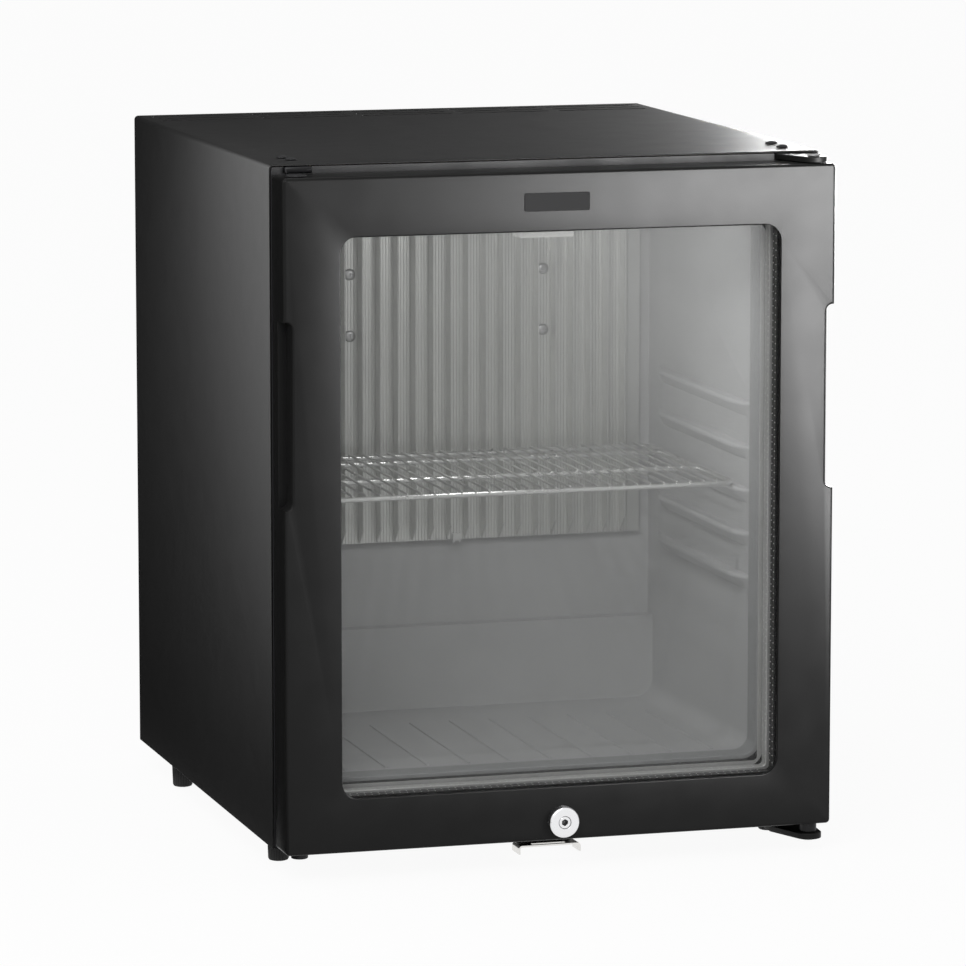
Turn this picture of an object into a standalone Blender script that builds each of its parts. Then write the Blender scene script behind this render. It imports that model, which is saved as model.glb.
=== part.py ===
"""Minibar fridge: foamed cabinet with an absorption unit behind, glazed door, cam lock and wire shelf.

Metres, +Z up. The origin is on the floor under the middle of the fridge. Pieces are drawn in the cabinet's
own frame, whose y = 0 is the front plane of the cabinet, with the door in front of it at negative y.
"""

import math

import bmesh
import bpy
from mathutils import Matrix, Vector

# Cabinet
WIDTH = 0.402
HEIGHT = 0.500
DEPTH = 0.413
BASE_HEIGHT = 0.019
SHEET = 0.001
GAP = 0.0003
WRAP_RADIUS = 0.003
FOAM_DEPTH = 0.310
BASE_LIP = 0.012

# Air slots in the top panel over the rear bay
VENT_SIDE = 0.011
VENT_GROUPS = 5
VENT_DIVIDER = 0.0075
VENT_ROWS = 3
VENT_ROW_PITCH = 0.0165
VENT_REAR_MARGIN = 0.015
VENT_WIDTH = 0.005

# Liner
LINER_WALL = 0.0015
SIDE_INSULATION = 0.0405
FLOOR_INSULATION = 0.0445
TOP_INSULATION = 0.044
LINER_DEPTH = 0.262
LINER_RADIUS = 0.014
LINER_BACK_RADIUS = 0.008
STEP_DEPTH = 0.012
STEP_HEIGHT = 0.0625
LEDGES = 5
LEDGE_PITCH = 0.0315
LEDGE_FIRST = 0.1285
LEDGE_REACH = 0.0085
LEDGE_ROOT = 0.008
LEDGE_TIP = 0.004
LEDGE_START = 0.025
LEDGE_BACK_MARGIN = 0.022
FLOOR_RIB_SIDE = 0.023
FLOOR_RIB_PITCH = 0.0305
FLOOR_RIB_WIDTH = 0.003
FLOOR_RIB_HEIGHT = 0.001
FLOOR_RIB_START = 0.040
FLOOR_RIB_LENGTH = 0.155

# Front frame of the cabinet
FRAME_PLATE = 0.0025
FRAME_LIP = 0.0032
FRAME_DEPTH = 0.020

# Evaporator
EVAPORATOR_SIDE = 0.0095
EVAPORATOR_HEIGHT = 0.245
EVAPORATOR_TOP = 0.021
EVAPORATOR_SHEET = 0.0015
EVAPORATOR_STANDOFF = 0.0055
FIN_SIDE = 0.0148
FIN_PITCH = 0.0136
FIN_DEPTH = 0.012
FIN_SHEET = 0.0012
PLATE_SCREW_FINS = 4.5
PLATE_SCREW_RISE = 0.156
PLATE_SCREW_PITCH = 0.046
PLATE_SCREW_REACH = 0.006
PROBE_WIDTH = 0.008
PROBE_HEIGHT = 0.016
PROBE_DEPTH = 0.005
PROBE_DROP = 0.006

# Lamp
LAMP_LENGTH = 0.040
LAMP_DEPTH = 0.017
LAMP_HEIGHT = 0.011
LAMP_START = 0.002
LENS_HEIGHT = 0.003
LENS_INSET = 0.001

# Door
DOOR_SIDE_CLEARANCE = 0.0005
DOOR_BOTTOM_CLEARANCE = 0.002
DOOR_TOP_DROP = 0.006
DOOR_REACH = 0.037
DOOR_GAP = 0.0063
DOOR_EDGE_RADIUS = 0.003
STILE = 0.0405
BOTTOM_RAIL = 0.0382
TOP_RAIL = 0.0415
WINDOW_RADIUS = 0.012
WINDOW_CHAMFER = 0.001
WINDOW_LIP = 0.0025
GLASS = 0.003
GLASS_OVERLAP = 0.006
GLASS_RADIUS = 0.003
SPACER_DEPTH = 0.009
SPACER_WIDTH = 0.0065
SPACER_INSET = 0.001
RETAINER = 0.0012
RETAINER_WIDTH = 0.0145
SEAL_INSET = 0.002
SEAL_WIDTH = 0.012
SEAL_WAIST = 0.002
GRIP_RISE = 0.243
GRIP_LENGTH = 0.1305
GRIP_DEPTH = 0.006
GRIP_REACH = 0.017
GRIP_RADIUS = 0.005
BADGE_LEFT = -0.028
BADGE_WIDTH = 0.047
BADGE_DROP = 0.0275
BADGE_HEIGHT = 0.0125
BADGE_SHEET = 0.0009
BADGE_RECESS = 0.0006
BADGE_CORNER = 0.001

# Hinges
HINGE_EDGE = 0.0125
HINGE_REACH = 0.025
HINGE_SHEET = 0.0044
HINGE_NOSE = 0.0095
HINGE_TONGUE_SIDE = 0.020
HINGE_SIDE_MARGIN = 0.0016
HINGE_TONGUE = 0.065
PIN_RADIUS = 0.003
PIN_HEAD_RADIUS = 0.0045
PIN_HEAD_HEIGHT = 0.0012
PIN_IN_DOOR = 0.013
BUSH_RADIUS = 0.005
BUSH_LENGTH = 0.0155
LOWER_FLANGE_RADIUS = 0.006
LOWER_PLATE_DROP = 0.0075
LOWER_TONGUE = 0.038
LOWER_RISER = 0.012
PLUG_HEAD_UPPER = 0.0075
PLUG_HEAD_HEIGHT = 0.0012
PLUG_HEAD_LOWER = 0.0037
BOLT_FRONT = 0.025
BOLT_FRONT_INSET = 0.006
BOLT_BACK_MARGIN = 0.011
BOLT_BACK_INSET = 0.004
BOLT_RADIUS = 0.002
BOLT_HEAD_RADIUS = 0.0043
BOLT_HEAD_HEIGHT = 0.002
BOLT_LENGTH = 0.012
BLANK_FRONT = 0.032
BLANK_FRONT_INSET = 0.011
BLANK_BACK = 0.048
BLANK_BACK_INSET = 0.009
BLANK_EDGE = 0.011
BLANK_WIDTH = 0.019
BLANK_PROUD = 0.004

# Lock
LOCK_RISE = 0.0138
LOCK_FACE_RADIUS = 0.011
LOCK_STAND = 0.0075
LOCK_EDGE = 0.002
BARREL_RADIUS = 0.0077
LOCK_PLUG_RADIUS = 0.0043
SOCKET_RADIUS = 0.0025
SOCKET_DEPTH = 0.004
NUT_RADIUS = 0.0105
NUT_HEIGHT = 0.004
NUT_POCKET_RADIUS = 0.0125
TAIL = 0.005
CAM_SHEET = 0.002
CAM_BACK = 0.0026
CAM_HUB = 0.0075
CAM_REACH = 0.0255
CAM_WIDTH = 0.008
CAM_SCREW_RADIUS = 0.0012
CAM_SCREW_HEAD = 0.003
CAM_SCREW_HEAD_HEIGHT = 0.0012
CAM_SCREW_LENGTH = 0.0065

# Keeper under the front edge
KEEPER_WIDTH = 0.046
KEEPER_SHEET = 0.0012
KEEPER_STEP = 0.0072
KEEPER_DROP = 0.0062
KEEPER_FRONT = 0.008
KEEPER_CHANNEL = 0.010
KEEPER_RAMP = 0.005
KEEPER_TONGUE = 0.016
KEEPER_SLOT_WIDTH = 0.025
KEEPER_SLOT_CLEARANCE = 0.001
KEEPER_SCREW_SPREAD = 0.012
KEEPER_SCREW_REACH = 0.008

# Shelf
SHELF_ROW = 2
SHELF_SIDE_CLEARANCE = 0.0055
SHELF_FRONT = 0.041
SHELF_BACK_CLEARANCE = 0.0045
SHELF_RADIUS = 0.009
SHELF_FRAME_WIRE = 0.002
SHELF_WIRE = 0.0011
SHELF_WIRE_SIDE = 0.012
SHELF_WIRE_PITCH = 0.01005
SHELF_CROSS_FRONT = 0.081
SHELF_CROSS_BACK = 0.034
SHELF_WELD = 0.0005

# Feet
FOOT_RADIUS = 0.008
FOOT_TAPER = 0.0006
FOOT_FLUTE = 0.0003
FOOT_EDGE = 0.0015
STUD_RADIUS = 0.003
STUD_LENGTH = 0.016
FRONT_FOOT_SIDE = 0.017
FRONT_FOOT_Y = 0.050
REAR_FOOT_SIDE = 0.012
REAR_FOOT_OFFSET = 0.011

# Absorption unit
RAIL_DEPTH = 0.012
RAIL_WIDTH = 0.022
RAIL_FLANGE = 0.008
RAIL_SHEET = 0.0015
RAIL_SIDE = 0.009
LOWER_RAIL_RISE = 0.056
MIDDLE_RAIL_RISE = 0.186
UPPER_RAIL_DROP = 0.068
BOILER_SIDE = 0.073
BOILER_RADIUS = 0.038
BOILER_RISE = 0.041
BOILER_HEIGHT = 0.250
BOILER_RIM = 0.0015
RISER_RADIUS = 0.007
RISER_BEND = 0.014
CONDENSER_SIDE = 0.051
CONDENSER_FROM_BOILER = 0.038
CONDENSER_TUBE = 0.008
CONDENSER_FINS = 20
CONDENSER_FIN_HALF = 0.028
CONDENSER_FIN_SHEET = 0.001
CONDENSER_END = 0.010
COIL_RADIUS = 0.0065
COIL_SIDE = 0.036
COIL_FROM_BOILER = 0.076
COIL_PITCH = 0.036
COIL_UNDER_RAIL = 0.060
COIL_FREE_DROP = 0.070
COIL_DROP_INSET = 0.025
VESSEL_SIDE = 0.041
VESSEL_FROM_BOILER = 0.073
VESSEL_RADIUS = 0.030
VESSEL_EDGE = 0.008
EXCHANGER_FROM_BOILER = 0.054
EXCHANGER_RADIUS = 0.009
EXCHANGER_UNDER_RAIL = 0.047
EXCHANGER_BEND = 0.016
FEED_RADIUS = 0.004
FEED_DROP = 0.021
BOX_FROM_BOILER = 0.033
BOX_WIDTH = 0.085
BOX_OFFSET = 0.014
BOX_DEPTH = 0.070
BOX_HEIGHT = 0.032
BOX_EDGE = 0.003
SLEEVE_RADIUS = 0.004
INLET_RADIUS = 0.007
INLET_BORE = 0.004
INLET_LENGTH = 0.009
AIR_OPENING_SIDE = 0.026
AIR_OPENING_FROM_BOX = 0.010
AIR_OPENING_MARGIN = 0.012

# Places that follow from the sizes above: cabinet
HALF_WIDTH = WIDTH / 2
FRONT_Y = (DOOR_REACH + LOCK_STAND - DEPTH) / 2
INSIDE_HALF = HALF_WIDTH - SHEET - GAP
INSIDE_FLOOR = BASE_HEIGHT + SHEET + GAP
INSIDE_TOP = HEIGHT - SHEET - GAP
VENT_SPAN = WIDTH - 2 * VENT_SIDE
LINER_HALF = HALF_WIDTH - SIDE_INSULATION
LINER_FLOOR = BASE_HEIGHT + FLOOR_INSULATION
LINER_TOP = HEIGHT - TOP_INSULATION
LINER_FRONT = FRAME_PLATE + GAP
LEDGE_LENGTH = LINER_DEPTH - LEDGE_BACK_MARGIN - LEDGE_START
FLOOR_RIBS = int(2 * (LINER_HALF - FLOOR_RIB_SIDE) / FLOOR_RIB_PITCH) + 1
MOUTH_INSET = GAP + FRAME_LIP
PLATE_HALF = LINER_HALF - EVAPORATOR_SIDE
PLATE_FRONT = LINER_DEPTH - EVAPORATOR_STANDOFF
PLATE_TOP = LINER_TOP - EVAPORATOR_TOP
PLATE_BOTTOM = PLATE_TOP - EVAPORATOR_HEIGHT
FINS = int(2 * (PLATE_HALF - FIN_SIDE) / FIN_PITCH) + 1

# Door and hinges
DOOR_HALF = HALF_WIDTH - DOOR_SIDE_CLEARANCE
DOOR_BOTTOM = BASE_HEIGHT + DOOR_BOTTOM_CLEARANCE
DOOR_TOP = HEIGHT - DOOR_TOP_DROP
WINDOW_HALF = DOOR_HALF - STILE
WINDOW_BOTTOM = DOOR_BOTTOM + BOTTOM_RAIL
WINDOW_TOP = DOOR_TOP - TOP_RAIL
GRIP_BOTTOM = DOOR_BOTTOM + GRIP_RISE
BADGE_BOTTOM = DOOR_TOP - BADGE_DROP
GLASS_FRONT = -DOOR_REACH + WINDOW_LIP + GAP
RETAINER_FRONT = GLASS_FRONT + 3 * GLASS + 2 * SPACER_DEPTH + 5 * GAP
SEAL_FRONT = RETAINER_FRONT + RETAINER + GAP
HINGE_X = DOOR_HALF - HINGE_EDGE
HINGE_INNER = HINGE_X - HINGE_TONGUE_SIDE
HINGE_RIGHT = HALF_WIDTH - HINGE_SIDE_MARGIN
UPPER_PLATE_BOTTOM = DOOR_TOP + GAP
UPPER_PLATE_TOP = UPPER_PLATE_BOTTOM + HINGE_SHEET
LOWER_PLATE_TOP = DOOR_BOTTOM - LOWER_PLATE_DROP
LOWER_PLATE_BOTTOM = LOWER_PLATE_TOP - HINGE_SHEET
BOLT_PLACES = (
    (HINGE_X - BOLT_BACK_INSET, HINGE_TONGUE - BOLT_BACK_MARGIN),
    (HINGE_X - BOLT_FRONT_INSET, BOLT_FRONT),
)
BLANK_PLACES = ((BLANK_BACK_INSET - HINGE_X, BLANK_BACK), (BLANK_FRONT_INSET - HINGE_X, BLANK_FRONT))
BLANK_LEFT = BLANK_EDGE - HALF_WIDTH
BOLT_HOLE = BOLT_RADIUS + GAP
BUSH_HOLE = BUSH_RADIUS + GAP

# Lock and keeper
LOCK_Z = DOOR_BOTTOM + LOCK_RISE
LOCK_FRONT = -DOOR_REACH - LOCK_STAND
KEEPER_TOP = BASE_HEIGHT - KEEPER_STEP

# Shelf and feet
LEDGE_TOP = LINER_FLOOR + LEDGE_FIRST + SHELF_ROW * LEDGE_PITCH
SHELF_Z = LEDGE_TOP + GAP + SHELF_FRAME_WIRE
SHELF_HALF = LINER_HALF - SHELF_SIDE_CLEARANCE
SHELF_BACK = PLATE_FRONT - FIN_DEPTH - SHELF_BACK_CLEARANCE
SHELF_WIRES = int(2 * (SHELF_HALF - SHELF_FRAME_WIRE - SHELF_WIRE_SIDE) / SHELF_WIRE_PITCH) + 1
REAR_PANEL_BACK = FOAM_DEPTH + SHEET
FRONT_FOOT = (HALF_WIDTH - FRONT_FOOT_SIDE, FRONT_FOOT_Y)
REAR_FOOT = (HALF_WIDTH - REAR_FOOT_SIDE, REAR_PANEL_BACK + REAR_FOOT_OFFSET)

# Absorption unit
RAIL_FRONT = REAR_PANEL_BACK + GAP
UNIT_FRONT = RAIL_FRONT + RAIL_DEPTH + GAP
LOWER_RAIL_Z = BASE_HEIGHT + LOWER_RAIL_RISE
MIDDLE_RAIL_Z = BASE_HEIGHT + MIDDLE_RAIL_RISE
UPPER_RAIL_Z = HEIGHT - UPPER_RAIL_DROP
BOILER_X = HALF_WIDTH - BOILER_SIDE
BOILER_BOTTOM = BASE_HEIGHT + BOILER_RISE
CONDENSER_LEFT = CONDENSER_SIDE - HALF_WIDTH
CONDENSER_RIGHT = BOILER_X - CONDENSER_FROM_BOILER
COIL_LEFT = COIL_SIDE - HALF_WIDTH
COIL_RIGHT = BOILER_X - COIL_FROM_BOILER
COIL_TOP = UPPER_RAIL_Z - COIL_UNDER_RAIL
VESSEL_LEFT = VESSEL_SIDE - HALF_WIDTH
VESSEL_RIGHT = BOILER_X - VESSEL_FROM_BOILER
VESSEL_Z = LOWER_RAIL_Z
COIL_LOWEST = VESSEL_Z + VESSEL_RADIUS + GAP + COIL_FREE_DROP
COIL_RUNS = 2 * int((COIL_TOP - COIL_LOWEST + COIL_PITCH) / (2 * COIL_PITCH))
COIL_DROP_X = COIL_LEFT + COIL_DROP_INSET
EXCHANGER_X = BOILER_X - EXCHANGER_FROM_BOILER
EXCHANGER_TOP = UPPER_RAIL_Z - EXCHANGER_UNDER_RAIL
BOX_LEFT = BOILER_X - BOX_FROM_BOILER
BOX_FRONT = REAR_PANEL_BACK + BOX_OFFSET
AIR_OPENING_LEFT = AIR_OPENING_SIDE - HALF_WIDTH
AIR_OPENING_RIGHT = BOX_LEFT - AIR_OPENING_FROM_BOX

ORIGIN = Vector((0, 0, 0))
DOOR_AXIS = Vector((HINGE_X, -HINGE_REACH, 0))
LOCK_AXIS = Vector((0, -DOOR_REACH, LOCK_Z))
SHELF_AXIS = Vector((0, SHELF_FRONT, SHELF_Z))


def clear_scene():
    for obj in list(bpy.data.objects):
        bpy.data.objects.remove(obj, do_unlink=True)


def material(name, colour, roughness, metallic=0.0, alpha=1.0):
    finish = bpy.data.materials.new(name)
    finish.use_nodes = True
    shader = finish.node_tree.nodes["Principled BSDF"]
    shader.inputs["Base Color"].default_value = (*colour, 1)
    shader.inputs["Roughness"].default_value = roughness
    shader.inputs["Metallic"].default_value = metallic
    shader.inputs["Alpha"].default_value = alpha
    finish.diffuse_color = (*colour, alpha)
    return finish


def make_materials():
    return {
        "painted_steel": material("painted_steel", (0.018, 0.018, 0.019), 0.38),
        "door_plastic": material("door_plastic", (0.022, 0.022, 0.024), 0.55),
        "black_plastic": material("black_plastic", (0.012, 0.012, 0.013), 0.45),
        "liner_plastic": material("liner_plastic", (0.62, 0.63, 0.63), 0.4),
        "foam": material("foam", (0.78, 0.66, 0.38), 0.9),
        "glass": material("glass", (0.85, 0.9, 0.88), 0.05, 0.0, 0.25),
        "aluminium": material("aluminium", (0.72, 0.73, 0.73), 0.35, 1.0),
        "dark_aluminium": material("dark_aluminium", (0.12, 0.12, 0.12), 0.4, 1.0),
        "zinc": material("zinc", (0.6, 0.61, 0.62), 0.4, 1.0),
        "chrome": material("chrome", (0.85, 0.85, 0.86), 0.12, 1.0),
        "white_wire": material("white_wire", (0.85, 0.85, 0.84), 0.35),
        "rubber": material("rubber", (0.02, 0.02, 0.02), 0.8),
        "lamp_white": material("lamp_white", (0.9, 0.9, 0.88), 0.3),
        "tube_paint": material("tube_paint", (0.02, 0.02, 0.02), 0.5),
        "galvanised": material("galvanised", (0.5, 0.52, 0.53), 0.5, 1.0),
    }


class Group:
    """Pieces that move together, under an empty on their joint's axis."""

    def __init__(self, name, pivot, parent=None):
        self.pivot = pivot
        self.empty = bpy.data.objects.new(name, None)
        self.empty.empty_display_size = 0.02
        self.empty.location = pivot + Vector((0, FRONT_Y, 0))
        if parent:
            self.empty.parent = parent.empty
            self.empty.location = pivot - parent.pivot
        bpy.context.collection.objects.link(self.empty)

    def add(self, obj):
        obj.parent = self.empty
        bpy.context.collection.objects.link(obj)
        return obj

    def piece(self, name, shape, finish, smooth=35):
        """A named object from a bmesh drawn in the cabinet's frame."""
        bmesh.ops.translate(shape, verts=shape.verts, vec=-self.pivot)
        bmesh.ops.recalc_face_normals(shape, faces=shape.faces)
        mesh = bpy.data.meshes.new(name)
        shape.to_mesh(mesh)
        shape.free()
        mesh.shade_smooth()
        mesh.set_sharp_from_angle(angle=math.radians(smooth))
        if finish:
            mesh.materials.append(finish)
        return self.add(bpy.data.objects.new(name, mesh))

    def cutter(self, name, shape):
        tool = self.piece(name, shape, None)
        tool.hide_render = True
        tool.display_type = "WIRE"
        return tool


def combine(obj, tool, operation="DIFFERENCE"):
    modifier = obj.modifiers.new(tool.name, "BOOLEAN")
    modifier.operation = operation
    modifier.solver = "EXACT"
    modifier.object = tool
    return obj


def round_edges(obj, width, segments=2, angle=40):
    modifier = obj.modifiers.new("rounding", "BEVEL")
    modifier.width = width
    modifier.segments = segments
    modifier.limit_method = "ANGLE"
    modifier.angle_limit = math.radians(angle)
    return obj


def arc(centre, radius, start, end, steps):
    """Points on an arc, angles in degrees."""
    points = []
    for i in range(steps + 1):
        angle = math.radians(start + (end - start) * i / steps)
        points.append((centre[0] + radius * math.cos(angle), centre[1] + radius * math.sin(angle)))
    return points


def rounded_rect(left, right, low, high, radius, steps=4):
    corners = (
        ((right - radius, low + radius), 270),
        ((right - radius, high - radius), 0),
        ((left + radius, high - radius), 90),
        ((left + radius, low + radius), 180),
    )
    points = []
    for centre, start in corners:
        points += arc(centre, radius, start, start + 90, steps)
    return points


def at(axis, u, v, along):
    """A point from its two coordinates on a cross-section and its place along the section's axis."""
    return {"x": (along, u, v), "y": (u, along, v), "z": (u, v, along)}[axis]


def loft(shape, loops, closed=False):
    """Skins the loops one after another and caps the ends, or joins the last loop to the first."""
    rings = [[shape.verts.new(point) for point in loop] for loop in loops]
    pairs = list(zip(rings, rings[1:]))
    if closed:
        pairs.append((rings[-1], rings[0]))
    for first, second in pairs:
        count = len(first)
        for i in range(count):
            j = (i + 1) % count
            shape.faces.new((first[i], first[j], second[j], second[i]))
    if not closed:
        shape.faces.new(rings[0])
        shape.faces.new(rings[-1][::-1])
    return shape


def prism(outline, axis, start, end, shape=None):
    """An outline pushed along an axis."""
    shape = shape or bmesh.new()
    return loft(shape, [[at(axis, u, v, along) for u, v in outline] for along in (start, end)])


def box(low, high, shape=None):
    outline = ((low[0], low[1]), (high[0], low[1]), (high[0], high[1]), (low[0], high[1]))
    return prism(outline, "z", low[2], high[2], shape)


def turned(profile, axis, centre, steps=24, hollow=False, shape=None, flute=0.0):
    """A profile of (radius, along) points turned about an axis. A hollow one is a closed ring."""
    shape = shape or bmesh.new()
    loops = []
    for radius, along in profile:
        loop = []
        for i in range(steps):
            reach = radius - flute * (i % 2)
            angle = 2 * math.pi * i / steps
            u = centre[0] + reach * math.cos(angle)
            v = centre[1] + reach * math.sin(angle)
            loop.append(at(axis, u, v, along))
        loops.append(loop)
    return loft(shape, loops, hollow)


def swept_frame(profile, left, right, low, high, radius, steps=4):
    """A profile of (offset outwards, y) points swept round a rounded rectangle in the XZ plane."""
    loops = []
    for offset, y in profile:
        outline = rounded_rect(
            left - offset, right + offset, low - offset, high + offset, radius + offset, steps
        )
        loops.append([(x, y, z) for x, z in outline])
    return loft(bmesh.new(), loops, closed=True)


def tube(group, name, points, radius, finish, sides=2):
    """A bent tube along points, with capped ends."""
    curve = bpy.data.curves.new(name, "CURVE")
    curve.dimensions = "3D"
    curve.bevel_depth = radius
    curve.bevel_resolution = sides
    curve.use_fill_caps = True
    curve.materials.append(finish)
    spline = curve.splines.new("POLY")
    spline.points.add(len(points) - 1)
    for spot, point in zip(spline.points, points):
        spot.co = (*(Vector(point) - group.pivot), 1)
    return group.add(bpy.data.objects.new(name, curve))


def bent(corners, radius, steps=5):
    """A path through corners, with each inner corner rounded to a radius."""
    corners = [Vector(corner) for corner in corners]
    path = [corners[0]]
    for before, corner, after in zip(corners, corners[1:], corners[2:]):
        into = (corner - before).normalized()
        out = (after - corner).normalized()
        turn = into.angle(out)
        trim = radius * math.tan(turn / 2)
        start = corner - into * trim
        centre = start + (out - into * into.dot(out)).normalized() * radius
        for i in range(steps + 1):
            angle = turn * i / steps
            path.append(centre - (centre - start) * math.cos(angle) + into * radius * math.sin(angle))
    path.append(corners[-1])
    return path


def bores(group, name, axis, places, radius, start, end, steps=12):
    """One cutter of round bars, for the holes of a row of fasteners."""
    shape = bmesh.new()
    for place in places:
        turned([(radius, start), (radius, end)], axis, place, steps, shape=shape)
    return group.cutter(name, shape)


def build_shell(cabinet, finishes):
    """The wrap is one sheet folded over the top, with the air slots punched in it."""
    inner = WRAP_RADIUS - SHEET
    outline = [(-HALF_WIDTH, BASE_HEIGHT)]
    outline += arc((-HALF_WIDTH + WRAP_RADIUS, HEIGHT - WRAP_RADIUS), WRAP_RADIUS, 180, 90, 4)
    outline += arc((HALF_WIDTH - WRAP_RADIUS, HEIGHT - WRAP_RADIUS), WRAP_RADIUS, 90, 0, 4)
    outline += [(HALF_WIDTH, BASE_HEIGHT), (HALF_WIDTH - SHEET, BASE_HEIGHT)]
    outline += arc((HALF_WIDTH - WRAP_RADIUS, HEIGHT - WRAP_RADIUS), inner, 0, 90, 4)
    outline += arc((-HALF_WIDTH + WRAP_RADIUS, HEIGHT - WRAP_RADIUS), inner, 90, 180, 4)
    outline += [(-HALF_WIDTH + SHEET, BASE_HEIGHT)]
    shell = cabinet.piece("outer_shell", prism(outline, "y", 0, DEPTH), finishes["painted_steel"])

    length = (VENT_SPAN - (VENT_GROUPS - 1) * VENT_DIVIDER) / VENT_GROUPS
    slots = bmesh.new()
    for column in range(VENT_GROUPS):
        left = -VENT_SPAN / 2 + column * (length + VENT_DIVIDER)
        for row in range(VENT_ROWS):
            middle = DEPTH - VENT_REAR_MARGIN - row * VENT_ROW_PITCH
            outline = rounded_rect(
                left, left + length, middle - VENT_WIDTH / 2, middle + VENT_WIDTH / 2, VENT_WIDTH * 0.45, 1
            )
            prism(outline, "z", HEIGHT - 2 * SHEET, HEIGHT + SHEET, slots)
    combine(shell, cabinet.cutter("vent_slots", slots))
    combine(shell, bolt_bores(cabinet, "shell_bolt_holes", HEIGHT - 2 * SHEET, HEIGHT + SHEET))


def bolt_bores(cabinet, name, start, end):
    return bores(cabinet, name, "z", BOLT_PLACES + BLANK_PLACES, BOLT_HOLE, start, end)


def build_base(cabinet, finishes):
    """The floor sheet turns up at the rear and is open under the absorption unit."""
    outline = (
        (GAP, BASE_HEIGHT),
        (DEPTH, BASE_HEIGHT),
        (DEPTH, BASE_HEIGHT + BASE_LIP),
        (DEPTH - SHEET, BASE_HEIGHT + BASE_LIP),
        (DEPTH - SHEET, BASE_HEIGHT + SHEET),
        (GAP, BASE_HEIGHT + SHEET),
    )
    base = cabinet.piece(
        "base_panel", prism(outline, "x", -INSIDE_HALF, INSIDE_HALF), finishes["painted_steel"]
    )
    low, high = BASE_HEIGHT - SHEET, BASE_HEIGHT + 2 * SHEET
    opening = rounded_rect(
        AIR_OPENING_LEFT,
        AIR_OPENING_RIGHT,
        REAR_FOOT[1] + FOOT_RADIUS,
        DEPTH - AIR_OPENING_MARGIN,
        AIR_OPENING_MARGIN / 2,
        3,
    )
    combine(base, cabinet.cutter("air_opening", prism(opening, "z", low, high)))
    combine(base, bores(cabinet, "stud_holes", "z", foot_places(), STUD_RADIUS + GAP, low, high))
    combine(base, bores(cabinet, "keeper_holes", "z", keeper_screw_places(), BOLT_HOLE, low, high))


def foot_places():
    return [(side * x, y) for x, y in (FRONT_FOOT, REAR_FOOT) for side in (-1, 1)]


def compartment(cabinet, name, offset, front):
    """The inside of the liner, grown by an offset: a rounded mouth crossed with the stepped side profile."""
    across = rounded_rect(
        -LINER_HALF - offset,
        LINER_HALF + offset,
        LINER_FLOOR - offset,
        LINER_TOP + offset,
        LINER_RADIUS + offset,
    )
    floor, top = LINER_FLOOR - LINER_RADIUS, LINER_TOP + LINER_RADIUS
    back = LINER_DEPTH + offset
    step = LINER_DEPTH - STEP_DEPTH + offset
    ledge = LINER_FLOOR + STEP_HEIGHT - offset
    bend = LINER_BACK_RADIUS + offset
    side = [(front, floor), (step, floor), (step, ledge), (back, ledge)]
    side += arc((back - bend, LINER_TOP + offset - bend), bend, 0, 90, 4)
    side += [(back - bend, top), (front, top)]
    crossing = cabinet.cutter(name + "_profile", prism(side, "x", -HALF_WIDTH, HALF_WIDTH))
    body = prism(across, "y", front, back + LINER_RADIUS)
    return body, crossing


def build_liner(cabinet, finishes):
    body, crossing = compartment(cabinet, "liner_outside", LINER_WALL, LINER_FRONT)
    liner = cabinet.piece("inner_liner", body, finishes["liner_plastic"])
    combine(liner, crossing, "INTERSECT")
    body, crossing = compartment(cabinet, "liner_inside", 0, LINER_FRONT - LINER_WALL)
    cavity = combine(cabinet.cutter("liner_cavity", body), crossing, "INTERSECT")
    combine(liner, cavity)
    combine(liner, cabinet.cutter("ledges", ledge_shapes()), "UNION")
    combine(liner, cabinet.cutter("floor_ribs", floor_rib_shapes()), "UNION")
    combine(liner, plate_screw_bores(cabinet, "liner_screw_holes", LINER_DEPTH + 2 * LINER_WALL))


def ledge_shapes():
    """Shelf ledges up both side walls, each tapered towards its tip, with its flat side on top."""
    shapes = bmesh.new()
    for side in (-1, 1):
        for row in range(LEDGES):
            top = LINER_FLOOR + LEDGE_FIRST + row * LEDGE_PITCH
            root = side * (LINER_HALF + LINER_WALL / 2)
            tip = side * (LINER_HALF - LEDGE_REACH)
            outline = ((root, top), (tip, top), (tip, top - LEDGE_TIP), (root, top - LEDGE_ROOT))
            prism(outline, "y", LEDGE_START, LEDGE_START + LEDGE_LENGTH, shapes)
    return shapes


def floor_rib_shapes():
    shapes = bmesh.new()
    for i in range(FLOOR_RIBS):
        middle = (i - (FLOOR_RIBS - 1) / 2) * FLOOR_RIB_PITCH
        half = FLOOR_RIB_WIDTH / 2
        low, high = LINER_FLOOR - LINER_WALL / 2, LINER_FLOOR + FLOOR_RIB_HEIGHT
        outline = (
            (middle - half, low),
            (middle + half, low),
            (middle + half / 2, high),
            (middle - half / 2, high),
        )
        prism(outline, "y", FLOOR_RIB_START, FLOOR_RIB_START + FLOOR_RIB_LENGTH, shapes)
    return shapes


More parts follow.
